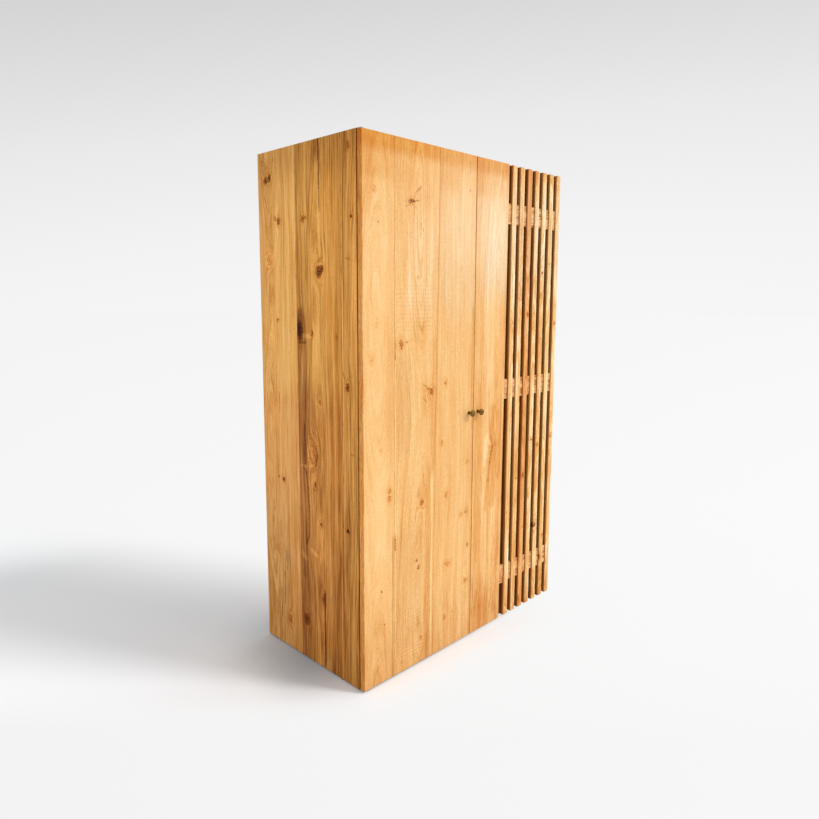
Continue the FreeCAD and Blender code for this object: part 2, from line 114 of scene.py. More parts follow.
# Tints multiply the wood's own colour, so its grain shows through them.
DARK = (0.17, 0.09, 0.03)
BROWN = (0.50, 0.36, 0.21)
EMBER = (0.46, 0.30, 0.11)
UMBER = (0.70, 0.56, 0.38)
# Painted partly as dirt and partly as the shade in the grooves between boards.
SEAM_DIRT_AND_SHADE = (0.78, 0.58, 0.33)
ORANGE = (0.93, 0.78, 0.55)
PALE = (1.10, 1.20, 1.38)
CREAM = (1.10, 1.36, 1.66)
SAND = (1.34, 1.48, 1.78)
# A painted highlight: the sheen of the finish where it mirrors the light, high on the doors.
SHEEN_HIGHLIGHT = (0.96, 1.08, 1.34)
AMBER = (0.88, 0.68, 0.42)
HEART = (0.46, 0.35, 0.25)
HEARTWOOD = (0.62, 0.52, 0.49)
# Painted shade on the sides of boards beside the open slats, near their front.
TURNED_SIDE_SHADE = (0.56, 0.36, 0.10)
OLIVE = (0.82, 0.92, 0.62)
# Painted shade, darker and more orange: across the tops of the doors, and on the outer door's left edge
# face.
ORANGE_SHADE = (0.84, 0.61, 0.24)
SHADED = (0.62, 0.55, 0.44)
# Painted shade deeper into the gaps between the open slats.
DEEP_GAP_SHADE = (0.27, 0.15, 0.05)
RUST = (0.78, 0.49, 0.20)
TOBACCO = (0.58, 0.40, 0.23)
# A warm, darker tint: painted shade low on the left side, and a warmer tone in a few bands of the side
# boards.
TAN_AND_SHADE = (0.87, 0.75, 0.71)
FADED = (1.13, 1.11, 1.10)
DULL = (0.82, 0.72, 0.62)
# Painted shade where the left side meets the door, in the gap between them.
DOOR_GAP_SHADE = (0.30, 0.18, 0.07)


def paint(hexadecimal):
    """A linear colour from an sRGB hexadecimal one."""
    channels = [int(hexadecimal[i : i + 2], 16) / 255 for i in (0, 2, 4)]
    linear = [c / 12.92 if c <= 0.04045 else ((c + 0.055) / 1.055) ** 2.4 for c in channels]
    return (*linear, 1.0)


# The wood's tones, and the tints of its late rings and of its knots.
Palette = namedtuple("Palette", "pale mid deep ring knot", defaults=(RUST,))

PALETTES = {
    "door": Palette("F6D196", "EFB976", "E1A055", (0.88, 0.76, 0.60)),
    "side": Palette("F6BC6C", "D89A4A", "985E28", (0.60, 0.48, 0.34), TOBACCO),
    "side_pale": Palette("FFD68E", "F2B868", "CC8C44", (0.74, 0.62, 0.46), TOBACCO),
    "slat": Palette("FCDFAC", "F3BF80", "E0A058", (0.84, 0.72, 0.56)),
    "slat_orange": Palette("F6C588", "EBA866", "D08A46", (0.80, 0.66, 0.48)),
    "rail": Palette("F4C894", "E6AA6E", "C4844A", (0.85, 0.72, 0.58)),
    "inner": Palette("BE8C50", "A5733A", "875628", (0.74, 0.62, 0.48)),
}

# --- Shader arithmetic --------------------------------------------------------------------


class Field:
    """A number that varies over a surface. Arithmetic on it adds shader nodes."""

    def __init__(self, graph, socket):
        self.graph = graph
        self.socket = socket

    def math(self, operation, *others):
        return self.graph.math(operation, self, *others)

    def __add__(self, other):
        return self.math("ADD", other)

    def __sub__(self, other):
        return self.math("SUBTRACT", other)

    def __mul__(self, other):
        return self.math("MULTIPLY", other)

    def __rsub__(self, other):
        return self.graph.math("SUBTRACT", other, self)

    def rise(self, low, high):
        """0 below low, 1 above high, and a smooth step between them."""
        return self.graph.smooth_step(self, low, high)

    def drop(self, low, high):
        """1 below low and 0 above high."""
        return 1.0 - self.rise(low, high)

    def clamped(self, low, high):
        return self.math("MAXIMUM", low).math("MINIMUM", high)

    def within(self, low, high, soft):
        """1 from low to high and 0 outside, with steps that reach soft to each side."""
        return self.rise(low - soft, low + soft) * self.drop(high - soft, high + soft)


class Graph:
    """The node tree of a material or of the world."""

    def __init__(self, owner):
        owner.use_nodes = True
        self.owner = owner
        self.tree = owner.node_tree

    def add(self, kind, inputs=(), **settings):
        node = self.tree.nodes.new(kind)
        for key, value in settings.items():
            setattr(node, key, value)
        for place, value in enumerate(inputs):
            self.feed(node.inputs[place], value)
        return node

    def feed(self, socket, value):
        if isinstance(value, Field):
            value = value.socket
        if isinstance(value, bpy.types.NodeSocket):
            self.tree.links.new(value, socket)
        elif value is not None:
            socket.default_value = value

    def math(self, operation, *values):
        return Field(self, self.add("ShaderNodeMath", values, operation=operation).outputs[0])

    def number(self, value):
        """A field that is the same number everywhere."""
        return self.math("ADD", value, 0.0)

    def vector_math(self, operation, *values):
        node = self.add("ShaderNodeVectorMath", values, operation=operation)
        return node.outputs["Value" if operation in ("LENGTH", "DOT_PRODUCT") else "Vector"]

    def scaled(self, vector, factor):
        return self.vector_math("SCALE", vector, None, None, factor)

    def measure(self, operation, *values):
        """A vector operation whose result is a number."""
        return Field(self, self.vector_math(operation, *values))

    def smooth_step(self, value, low, high):
        node = self.add("ShaderNodeMapRange", (value, low, high), interpolation_type="SMOOTHSTEP")
        return Field(self, node.outputs[0])

    def combine(self, x, y, z):
        return self.add("ShaderNodeCombineXYZ", (x, y, z)).outputs[0]

    def split(self, vector):
        node = self.add("ShaderNodeSeparateXYZ", (vector,))
        return [Field(self, output) for output in node.outputs]

    def noise_node(self, place, sizes, seed, detail, roughness):
        """Noise whose features are as long as sizes along each axis of place."""
        scales = tuple(1.0 / size for size in sizes)
        offset = tuple(seed * share for share in (7.31, 3.17, 5.73))
        point = self.vector_math("MULTIPLY_ADD", place, scales, offset)
        node = self.add("ShaderNodeTexNoise", (point,))
        node.inputs["Scale"].default_value = 1.0
        node.inputs["Detail"].default_value = detail
        node.inputs["Roughness"].default_value = roughness
        return node

    def noise(self, place, sizes, seed, detail=2.0, roughness=0.5):
        return Field(self, self.noise_node(place, sizes, seed, detail, roughness).outputs[0])

    def noise_three(self, place, sizes, seed, detail=1.0):
        """Three independent noises, each about zero and up to half a unit off it."""
        colour = self.noise_node(place, sizes, seed, detail, 0.5).outputs[1]
        return self.vector_math("SUBTRACT", colour, (0.5, 0.5, 0.5))

    def ramp(self, value, stops):
        node = self.add("ShaderNodeValToRGB", (value,))
        elements = node.color_ramp.elements
        while len(elements) < len(stops):
            elements.new(0.5)
        for element, (place, tone) in zip(elements, stops):
            element.position = place
            element.color = paint(tone)
        return node.outputs[0]

    def blend(self, share, below, above, mode="MIX"):
        node = self.add("ShaderNodeMix", data_type="RGBA", blend_type=mode)
        self.feed(node.inputs[0], share)
        self.feed(node.inputs[6], below)
        self.feed(node.inputs[7], above)
        return node.outputs[2]

    def object_place(self):
        """This point in millimetres, in the part's own frame."""
        coordinates = self.add("ShaderNodeTexCoord").outputs["Object"]
        return self.scaled(coordinates, 1.0 / MM)


class Surface(Graph):
    """The node tree of a solid surface."""

    def __init__(self, name):
        super().__init__(bpy.data.materials.new(name))
        self.shader = self.tree.nodes["Principled BSDF"]
        self.seed = seed_of(name)

    def bump(self, height, depth):
        node = self.add("ShaderNodeBump")
        node.inputs["Strength"].default_value = 1.0
        node.inputs["Distance"].default_value = depth * MM
        self.feed(node.inputs["Height"], height)
        self.feed(self.shader.inputs["Normal"], node.outputs[0])

    def finish(self, colour, roughness, **uniform):
        """Links the colour and the roughness, and sets the values that are the same all over.
        Their names are the sockets' names with low lines for the spaces."""
        self.feed(self.shader.inputs["Base Color"], colour)
        self.feed(self.shader.inputs["Roughness"], roughness)
        for name, value in uniform.items():
            self.shader.inputs[name.replace("_", " ")].default_value = value
        return self.owner


def seed_of(name):
    """A small number that is always the same for a name."""
    return zlib.crc32(name.encode()) % 977 / 10.0


# --- How a board's grain lies -------------------------------------------------------------


class Lay:
    """Turns the part's X, Y and Z into places across, into and along one board.
    Each is (axis, sign, start), so a place is sign * (coordinate - start)."""

    def __init__(self, across, depth, along):
        self.rules = (across, depth, along)

    def of_point(self, point):
        """Places, in millimetres, of a point in metres."""
        return [sign * (point[axis] / MM - start) for axis, sign, start in self.rules]

    def to_point(self, places):
        point = Vector((0.0, 0.0, 0.0))
        for (axis, sign, start), place in zip(self.rules, places):
            point[axis] = (sign * place + start) * MM
        return point

    def one_step(self, *places):
        """The way from the lay's own zero to the places."""
        return self.to_point(places) - self.to_point((0.0, 0.0, 0.0))

    def box(self, node):
        """The places of the two corners of a node's box."""
        return [self.of_point(corner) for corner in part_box(node)]

    def fields(self, graph):
        parts = graph.split(graph.object_place())
        return [
            graph.math("MULTIPLY_ADD", parts[axis], float(sign), float(-sign * start))
            for axis, sign, start in self.rules
        ]


FRONT = Lay((0, 1, LEFT_EDGE), (1, 1, DOOR_FACE), (2, 1, 0.0))
LEFT_SIDE = Lay((1, -1, BACK_FACE), (0, 1, LEFT_EDGE), (2, 1, 0.0))
RIGHT_SIDE = Lay((1, -1, BACK_FACE), (0, -1, RIGHT_EDGE), (2, 1, 0.0))
UPRIGHT = Lay((0, 1, LEFT_EDGE), (1, -1, BACK_FACE), (2, 1, 0.0))
PARTITION = Lay((1, -1, BACK_FACE), (0, 1, 0.0), (2, 1, 0.0))


def flat_lay(node):
    """Grain along X in a level board, seen from above."""
    return Lay((1, -1, BACK_FACE), (2, -1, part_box(node)[1].z / MM), (0, 1, LEFT_EDGE))


def rail_lay(node):
    """Grain along X in a rail that stands on edge."""
    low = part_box(node)[0]
    return Lay((2, 1, low.z / MM), (1, 1, low.y / MM), (0, 1, LEFT_EDGE))


# --- The wood material --------------------------------------------------------------------

# The bases of the bell curves by which a knot's gloom and its push on the grain fall off.
FALL_BASE = math.exp(-1.0 / 3.0)
FLOW_BASE = math.exp(-1.0)
# The distance to the nearest knot, in core radii, where a board has none.
NO_KNOT = 9.0
# A stroke narrower than this is broken up along its length.
THIN_STROKE = 4.5
# The pitch of the saw's ripples along a board.
SAW_PITCH = 14.8
# How softly the saw's ripples end at the sides and at the ends of their area.
SAWN_SIDES = 18
SAWN_ENDS = 22
# The waves in which an open crack wanders off its line: how far, and over what length.
CHECK_WAVES = ((1.1, 41.0), (0.5, 13.0))
# How far from its ends an open crack reaches its full darkness.
CHECK_TAPER = 22
# The depth of the finished surface's relief, and how dull its clear coat is.
RELIEF = 0.16
COAT_ROUGHNESS = 0.24


class Board(SimpleNamespace):
    """The wood of one node: its palette, how its log lay, and its marks. shared are bands that
    are made already. rings and contrast are how strongly its rings and streaks show, and rough
    is how coarse its relief is. stain is how strongly painted shade darkens the wood
    where it turns in from its face beside the open slats, thick is how deep it is there, and
    grime is how dark its left and right edges are painted, partly as dirt and
    partly as the shade in the grooves between boards."""

    dullness = 0.42
    rings = 1.0
    contrast = 1.0
    rough = 0.0
    grime = (0.5, 0.5)
    stain = 0.0
    coat = 0.0
    specular = 0.25
    ridged = False
    thick = 0.0

    def __init__(self, lay, palette, log, knots=(), strokes=(), bands=(), shared=(), sawn=(),
                 checks=(), **looks):
        super().__init__(**looks)
        self.lay = lay
        self.palette = PALETTES[palette]
        self.log = log
        self.knots = marks(Knot, knots)
        self.strokes = tinted_marks(Stroke, strokes)
        self.bands = shared + tinted_marks(Band, bands)
        self.sawn = marks(Sawn, sawn)
        self.checks = marks(Check, checks)


def check_sway(along):
    """How far an open crack lies off its line."""
    return sum(reach * math.sin(along / length) for reach, length in CHECK_WAVES)


class Wood(Surface):
    """One board's wood: its rings and fibres first, and then each kind of mark over them.
    Its plain numbers are sizes of features, shares from 0 to 1, and the numbers
    added to the seed, which keep its noises apart."""

    def __init__(self, name, board, edges=None):
        """edges are the lines of its long edges, as edge_lines gives them."""
        super().__init__(name)
        self.board = board
        self.across, self.depth, self.along = board.lay.fields(self)
        self.place = self.combine(self.across, self.depth, self.along)
        self.read_knots()
        self.grow_rings()
        self.grow_fibres()
        self.mix_base_colour()
        if edges:
            self.mark_edges(edges)
        self.mark_bands()
        self.mark_saw()
        self.mark_knots()
        self.mark_strokes()
        self.mark_checks()
        if board.stain:
            self.stain_sides()

    def stain_sides(self):
        """Painted shade where the wood turns in beside the open slats, darker further into the gaps, but
        not on the face at the back.
        """
        board = self.board
        turned = self.depth.drop(board.thick - 1.5, board.thick - 0.5) * board.stain
        self.shade(turned * self.depth.rise(0.5, 1.7), TURNED_SIDE_SHADE)
        self.shade(turned * self.depth.rise(3.0, 16.0), DEEP_GAP_SHADE)

    def grain(self, sizes, number, detail=2.0):
        """One of the board's own noises."""
        return self.noise(self.place, sizes, self.seed + number, detail)

    def shade(self, share, tint):
        self.colour = self.blend(share, self.colour, (*tint, 1.0), "MULTIPLY")

    def around(self, place, knot, width, length):
        """The offset from a knot's centre, in shares of a width and a length."""
        scale = (1.0 / width, 0.0, 1.0 / length)
        shift = (-knot.across * scale[0], 0.0, -knot.up * scale[2])
        return self.vector_math("MULTIPLY_ADD", place, scale, shift)

    def read_knots(self):
        """The distance to the nearest knot in core radii, the gloom of all of them, how far they
        bend the rings, and how far they push the grain aside."""
        crumple = self.noise_three(self.place, (8, 8, 10), self.seed + 1, detail=2.0)
        self.torn_place = self.vector_math("MULTIPLY_ADD", crumple, (16, 0, 22), self.place)
        self.nearest = self.number(NO_KNOT)
        self.gloom = self.number(0.0)
        self.bend = self.number(0.0)
        self.flow = self.number(0.0)
        for knot in self.board.knots:
            core = self.around(self.torn_place, knot, knot.size, knot.size * knot.stretch)
            distance = self.measure("LENGTH", core)
            self.nearest = self.nearest.math("MINIMUM", distance)
            fall = self.math("POWER", FALL_BASE, distance * distance)
            self.gloom = fall.math("MULTIPLY_ADD", knot.dark, self.gloom)
            self.bend = fall.math("MULTIPLY_ADD", knot.bend, self.bend)
            self.push_grain(knot)

    def push_grain(self, knot):
        """The grain parts above a knot and closes again below it."""
        wide = self.around(self.place, knot, knot.size * 1.9 + 4.0, knot.size * 6.0 + 22.0)
        share = self.math("POWER", FLOW_BASE, self.measure("DOT_PRODUCT", wide, wide))
        push = -min(0.82, 0.30 * knot.bend + 0.25)
        aside = (self.across - knot.across) * share
        self.flow = aside.math("MULTIPLY_ADD", push, self.flow)

    def grow_rings(self):
        """Growth rings: circles about a pith that swings slowly along the board."""
        log = self.board.log
        sway = self.noise_three(self.place, (190, 190, 720), self.seed)
        sway_across, sway_depth, self.sway_tone = self.split(sway)
        swing = (self.along * (TAU / log.wave) + log.phase).math("SINE")
        from_pith = self.across + self.flow - log.across + swing * log.swing_across
        from_pith = from_pith + sway_across * 30.0
        below_pith = self.depth - log.depth + swing * log.swing_depth + sway_depth * 22.0
        radius = (from_pith * from_pith + below_pith * below_pith).math("SQRT")
        self.wobble = self.grain((9, 9, 60), 2)
        self.radius = radius + self.bend * log.spacing + self.wobble * (0.9 * log.spacing)
        rings = self.radius * (1.0 / log.spacing)
        phase = rings.math("FRACT")
        year = self.add("ShaderNodeTexWhiteNoise", (None, rings.math("FLOOR") + self.seed),
                        noise_dimensions="1D")
        chance = Field(self, year.outputs[0])
        patch = self.grain((34, 34, 240), 3).rise(0.36, 0.60)
        strength = (chance * chance + 0.15) * (patch * 0.75 + 0.25)
        self.late = phase.rise(0.30, 0.90) * phase.drop(0.92, 1.0) * strength
        self.ring_place = self.combine(self.radius, from_pith * 0.12, self.along)

    def grow_fibres(self):
        """Streaks that follow the rings, and fibres and pores that run straight."""
        self.broad = self.noise(self.ring_place, (26, 30, 900), self.seed + 4)
        self.streak = self.noise(self.ring_place, (4.2, 12, 330), self.seed + 5, 3.0, 0.62)
        self.fine = self.noise(self.ring_place, (1.6, 6, 120), self.seed + 6, 2.0)
        self.fibre = self.grain((0.8, 0.8, 34), 7)
        pores = self.grain((0.6, 0.6, 9), 8, detail=1.0)
        self.pores = pores.rise(0.60, 0.74)

    def mix_base_colour(self):
        palette = self.board.palette
        swell = (self.broad - 0.5) * 0.70 + (self.streak - 0.5) * 0.85 + (self.fine - 0.5) * 0.75
        self.mottle = self.grain((26, 26, 150), 13, detail=4.0)
        tone = swell * self.board.contrast + (self.mottle - 0.5) * 0.22 + 0.5
        stops = [(0.24, palette.deep), (0.50, palette.mid), (0.76, palette.pale)]
        self.colour = self.ramp(tone, stops)
        self.shade(self.late * self.board.rings, palette.ring)
        thin = self.streak.drop(0.30, 0.42) * self.fine.drop(0.36, 0.56)
        self.shade(thin * (0.75 * self.board.contrast), palette.ring)
        self.shade(self.pores * 0.30, UMBER)
        tooth = self.grain((4.6, 4.6, 8.0), 14, detail=2.0)
        self.colour = self.scaled(self.colour, self.fibre * 0.20 + tooth * 0.36 + 0.72)

    def mark_bands(self):
        ragged = (self.streak - 0.5) * 3.2 + (self.wobble - 0.5) * 2.4
        streaky = self.streak.drop(0.30, 0.66) * 0.30 + self.fine.drop(0.35, 0.65) * 0.20 + 0.68
        torn = (self.fine - 0.5) + (self.mottle - 0.5) * 1.6
        for band in self.board.bands:
            middle = (band.low + band.high) / 2
            place = self.across + ragged * band.edge - (self.along - middle) * band.lean
            mask = place.within(band.left, band.right, band.edge)
            height = self.along + torn * band.fade
            mask = mask * height.within(band.low, band.high, band.fade)
            share = (mask * streaky * band.strength).math("MINIMUM", 1.0)
            self.shade(share, band.tint)

    def mark_saw(self):
        """Pale ripples and darker hollows across the grain, and how much of them there is."""
        self.scuffed = self.number(0.0)
        if not self.board.sawn:
            self.ripple = self.scuffed
            return
        self.ripple = (self.along * (TAU / SAW_PITCH) + self.wobble * 2.5).math("SINE")
        place = self.across + (self.streak - 0.5) * 30.0
        for area in self.board.sawn:
            mask = place.within(area.left, area.right, SAWN_SIDES) * area.share
            mask = mask * self.along.within(area.low, area.high, SAWN_ENDS)
            self.scuffed = self.scuffed + mask
        mesh = self.grain((3.4, 3.4, 16), 16, detail=1.0)
        self.scuffed = self.scuffed * (mesh.rise(0.34, 0.62) * 0.85 + 0.15)
        self.shade(self.scuffed * self.ripple.rise(0.0, 0.9) * 0.90, PALE)
        self.shade(self.scuffed * self.ripple.drop(-0.9, 0.1) * 0.16, UMBER)

    def mark_knots(self):
        """A warm halo, arcs of pale and rusty wood, and a core of dark crumbs."""
        if not self.board.knots:
            return
        near = self.nearest.drop(1.0, 2.4)
        depth_of_tone = self.gloom.math("MINIMUM", 1.0)
        vein = self.noise(self.torn_place, (5, 5, 6), self.seed + 9, detail=3.0)
        fleck = self.grain((4.4, 4.4, 4.0), 15, detail=2.0)
        arcs = (self.nearest * 6.5 + vein * 10.0).math("SINE")
        self.shade(self.nearest.drop(0.9, 3.2) * 0.60, ORANGE)
        self.shade(near * arcs.rise(0.1, 0.9) * 0.65, PALE)
        self.shade(near * arcs.drop(-0.9, -0.1) * (depth_of_tone * 0.6 + 0.3), self.board.palette.knot)
        core = self.nearest.drop(0.55, 1.30) * depth_of_tone
        self.shade(core * (vein * 1.1 + 0.25), self.board.palette.knot)
        self.shade(core * vein.rise(0.44, 0.60), EMBER)
        crumbs = self.nearest.drop(0.45, 1.25) * self.gloom.rise(0.50, 0.92)
        self.shade(crumbs * fleck.rise(0.42, 0.51), DARK)
        self.shade(crumbs * fleck.drop(0.36, 0.44) * 0.9, SAND)

    def mark_strokes(self):
        """Drawn marks, each with the crumpled sides of torn fibres."""
        loose = self.noise_three(self.place, (8, 8, 12), self.seed + 10, detail=2.0)
        flat_place = self.vector_math("MULTIPLY_ADD", loose, (10, 0, 12),
                                      self.combine(self.across, 0.0, self.along))
        broken = self.grain((7, 7, 8), 17).rise(0.36, 0.52) * 0.75 + 0.25
        for stroke in self.board.strokes:
            start = Vector((stroke.across0, 0.0, stroke.up0))
            run = Vector((stroke.across1, 0.0, stroke.up1)) - start
            offset = self.vector_math("SUBTRACT", flat_place, tuple(start))
            share = self.measure("DOT_PRODUCT", offset, tuple(run / run.length_squared))
            share = share.clamped(0.0, 1.0)
            reach = self.combine(share * run.x, 0.0, share * run.z)
            gap = self.measure("LENGTH", self.vector_math("SUBTRACT", offset, reach))
            mask = gap.drop(stroke.width * 0.15, stroke.width * 1.25) * stroke.strength
            if stroke.width < THIN_STROKE:
                mask = mask * broken
            self.shade(mask, stroke.tint)

    def mark_checks(self):
        """Painted shade inside each open crack."""
        if not self.board.checks:
            return
        bent_across = self.across
        for reach, length in CHECK_WAVES:
            bent_across = bent_across - (self.along * (1 / length)).math("SINE") * reach
        for check in self.board.checks:
            line = (bent_across - check.across).math("ABSOLUTE")
            mask = line.drop(check.width * 0.35, check.width * 1.1)
            mask = mask * self.along.rise(check.low, check.low + CHECK_TAPER)
            mask = mask * self.along.drop(check.high - CHECK_TAPER, check.high)
            self.shade(mask * (self.streak.drop(0.45, 0.75) * 0.5 + 0.5), DARK)

    def mark_edges(self, edges):
        """A brown line beside each long edge, painted partly as dirt and partly as the shade in the groove
        between boards, and darker crumbs along it here and there.
        """
        left = self.across - (self.along * edges[1] + edges[0])
        right = (self.along * edges[3] + edges[2]) - self.across
        crumbs = self.grain((5, 5, 24), 11, detail=3.0)
        reach = (crumbs - 0.50) * 24.0
        for gap, dirt_and_shade in ((left, self.board.grime[0]), (right, self.board.grime[1])):
            self.shade(gap.drop(0.0, 5.5) * (0.9 * dirt_and_shade), SEAM_DIRT_AND_SHADE)
            self.shade((gap - reach).drop(-2.0, 1.0) * dirt_and_shade, BROWN)

    def material(self):
        """Ends the graph with the finish and the relief of the surface."""
        board = self.board
        roughness = self.fibre * 0.22 + self.sway_tone * 0.12 + (board.dullness - 0.11)
        roughness = roughness + self.nearest.drop(0.6, 1.4) * 0.12
        height = self.fibre * (0.5 + board.rough) + self.streak * 0.8 - self.pores * 0.55
        if board.sawn:
            height = height + self.scuffed * self.ripple * 0.55
        if board.rough:
            coarse = self.grain((2.2, 2.2, 60), 12, detail=3.0)
            height = height + coarse * (2.5 * board.rough)
        # Painted shade in the troughs between the saw's ridges, and a painted highlight on their crests.
        if board.ridged:
            trough_shade = self.depth.rise(0.5, 2.6) * self.depth.drop(4.0, 6.0)
            self.shade(trough_shade * 0.8, BROWN)
            self.shade(self.depth.drop(-1.6, 0.4) * 0.6, PALE)
        self.bump(height, RELIEF)
        return self.finish(self.colour, roughness, Coat_Weight=board.coat,
                           Coat_Roughness=COAT_ROUGHNESS, Specular_IOR_Level=board.specular)


# --- Working a board's mesh ---------------------------------------------------------------

# Distances, in metres, at which two corners are one, and at which a corner lies on a cut.
WELD = 0.00001
ON_PLANE = 0.00002
# Angles, in radians, below which two faces are one, and above which their edge is sharp.
FLAT_ANGLE = 0.002
SHARP_ANGLE = math.radians(50)
# How far off a line or an end, in millimetres, a corner may lie and still belong to it.
TOUCH = 0.05
NEAR_END = 0.1


def cleaned(node):
    """The solid's mesh with its split corners joined and its flat faces whole."""
    mesh = bmesh.new()
    mesh.from_mesh(frame["nodes"][node].data)
    bmesh.ops.remove_doubles(mesh, verts=mesh.verts, dist=WELD)
    bmesh.ops.dissolve_limit(mesh, angle_limit=FLAT_ANGLE, verts=mesh.verts, edges=mesh.edges)
    return mesh


def smooth_noise(*place):
    """A number from about -1 to 1 that varies smoothly with three others."""
    return noise.noise(Vector(place))


def cut(mesh, point, normal):
    geometry = mesh.verts[:] + mesh.edges[:] + mesh.faces[:]
    bmesh.ops.bisect_plane(mesh, geom=geometry, plane_co=point, plane_no=normal, dist=ON_PLANE)


def end_limits(mesh, lay):
    """The board's limits across, at its low end and at its high end."""
    places = [lay.of_point(v.co) for v in mesh.verts]
    low = min(p[2] for p in places)
    high = max(p[2] for p in places)
    found = []
    for end in (low, high):
        there = [p[0] for p in places if abs(p[2] - end) < NEAR_END]
        found.append((min(there), max(there), end))
    return found


def edge_lines(limits):
    """(left at zero, its slope, right at zero, its slope) from the limits at the two ends."""
    (left0, right0, low), (left1, right1, high) = limits
    left_slope = (left1 - left0) / (high - low)
    right_slope = (right1 - right0) / (high - low)
    return (left0 - left_slope * low, left_slope, right0 - right_slope * low, right_slope)


# How far from a long edge the cuts beside it lie, and how far in the wear reaches.
EDGE_CUTS = (1.6, 3.4, 7.0)
WEAR_WIDTH = 7.0
# Points less deep than this belong to the board's face.
FACE_DEPTH = 2.5
# How far from its ends an open crack reaches its full depth.
CHECK_RUNOUT = 40.0
# How far a crosswise cut may lie off its place, and where in its own step a ridge or a knot may
# lie, all in steps.
UNEVEN = 0.25
WITHIN_STEP = (0.2, 0.8)
# The lengths over which the gentle wear and the chips of an arris vary, and the noise above
# which it is chipped.
GENTLE_LENGTH = 130.0
CHIP_LENGTH = 34.0
CHIP_START = 0.22
# The lengths of the slow and the quick waves in a slat's edges.
SLOW_WAVE = 330.0
QUICK_WAVE = 90.0


def cut_along(mesh, lay, limits, step, rng):
    """Cuts the board crosswise at uneven steps."""
    low, high = limits[0][2], limits[1][2]
    aim = lay.one_step(0.0, 0.0, 1.0).normalized()
    along = low + step
    while along < high - step / 2:
        off = rng.uniform(-UNEVEN, UNEVEN) * step
        cut(mesh, lay.to_point((0.0, 0.0, along + off)), aim)
        along += step


def cut_beside_edges(mesh, lay, limits):
    """Cuts thin strips beside the long edges, which then carry the wear."""
    into = lay.one_step(0.0, 1.0, 0.0)
    for side, sign in ((0, 1), (1, -1)):
        for inset in EDGE_CUTS:
            start = lay.to_point((limits[0][side] + sign * inset, 0.0, limits[0][2]))
            end = lay.to_point((limits[1][side] + sign * inset, 0.0, limits[1][2]))
            cut(mesh, start, (end - start).cross(into).normalized())


def cut_checks(mesh, lay, checks):
    """Cuts the board along both sides and the bottom of each crack."""
    aside = lay.one_step(1.0, 0.0, 0.0).normalized()
    for check in checks:
        for offset in (-1.0, 0.0, 1.0):
            cut(mesh, lay.to_point((check.across + offset * check.width, 0.0, 0.0)), aside)


def wear_depth(along, seed, wear):
    """How deep an arris is worn at a height: a little all over, and chipped here and there."""
    gentle = 0.35 + 0.35 * smooth_noise(along / GENTLE_LENGTH, seed, 0.5)
    chip = max(0.0, smooth_noise(along / CHIP_LENGTH, seed + 9.0, 2.5) - CHIP_START)
    return wear * (gentle + 4.0 * chip)


def worn_places(places, lines, board, seed, wear, wave):
    """Where a point of the clean board lies on the worn one."""
    across, depth, along = places
    left = across - (lines[0] + lines[1] * along)
    right = (lines[2] + lines[3] * along) - across
    if depth < FACE_DEPTH:
        for gap, side_seed in ((left, seed), (right, seed + 31.0)):
            if gap < WEAR_WIDTH:
                share = max(0.0, 1.0 - gap / WEAR_WIDTH) ** 2
                depth += share * wear_depth(along, side_seed, wear)
        for check in board.checks:
            if abs(across - check.across) < TOUCH and check.low < along < check.high:
                ends = min(along - check.low, check.high - along) / CHECK_RUNOUT
                depth += check.depth * min(1.0, ends)
            if abs(across - check.across) < check.width * 1.05:
                across += check_sway(along)
    if wave:
        for gap, sign, side_seed in ((left, 1, seed), (right, -1, seed + 57.0)):
            if gap < 1.0:
                slow = smooth_noise(along / SLOW_WAVE, side_seed, 7.5)
                quick = smooth_noise(along / QUICK_WAVE, side_seed, 4.5)
                across += sign * wave * (0.9 * slow + 0.3 * quick - 0.2)
    return across, depth, along


def worked_board(node, body, slot, board, step=26.0, wear=0.35, wave=0.0):
    """Replaces a node by its own solid with worn edges and open cracks, in its wood."""
    rng = random.Random(node)
    seed = seed_of(node)
    lay = board.lay
    board.thick = max(corner[1] for corner in lay.box(node))
    mesh = cleaned(node)
    limits = end_limits(mesh, lay)
    lines = edge_lines(limits)
    cut_beside_edges(mesh, lay, limits)
    cut_checks(mesh, lay, board.checks)
    cut_along(mesh, lay, limits, step, rng)
    for vert in mesh.verts:
        places = worn_places(lay.of_point(vert.co), lines, board, seed, wear, wave)
        vert.co = lay.to_point(places)
    material = Wood(f"{node}_wood", board, lines).material()
    return shown_piece(f"{node}_worked", mesh, body, slot, material, node)


# The ridges' spacing and depth, and how finely a rail is cut along its length.
RIDGE_PITCH = 6.0
RIDGE_DEPTH = 2.4
RIDGE_STEP = 9.0
# How wide and how long a line of the saw and a chip are.
SAW_LINE = (3.1, 70.0)
SAW_CHIP = (9.0, 14.0)


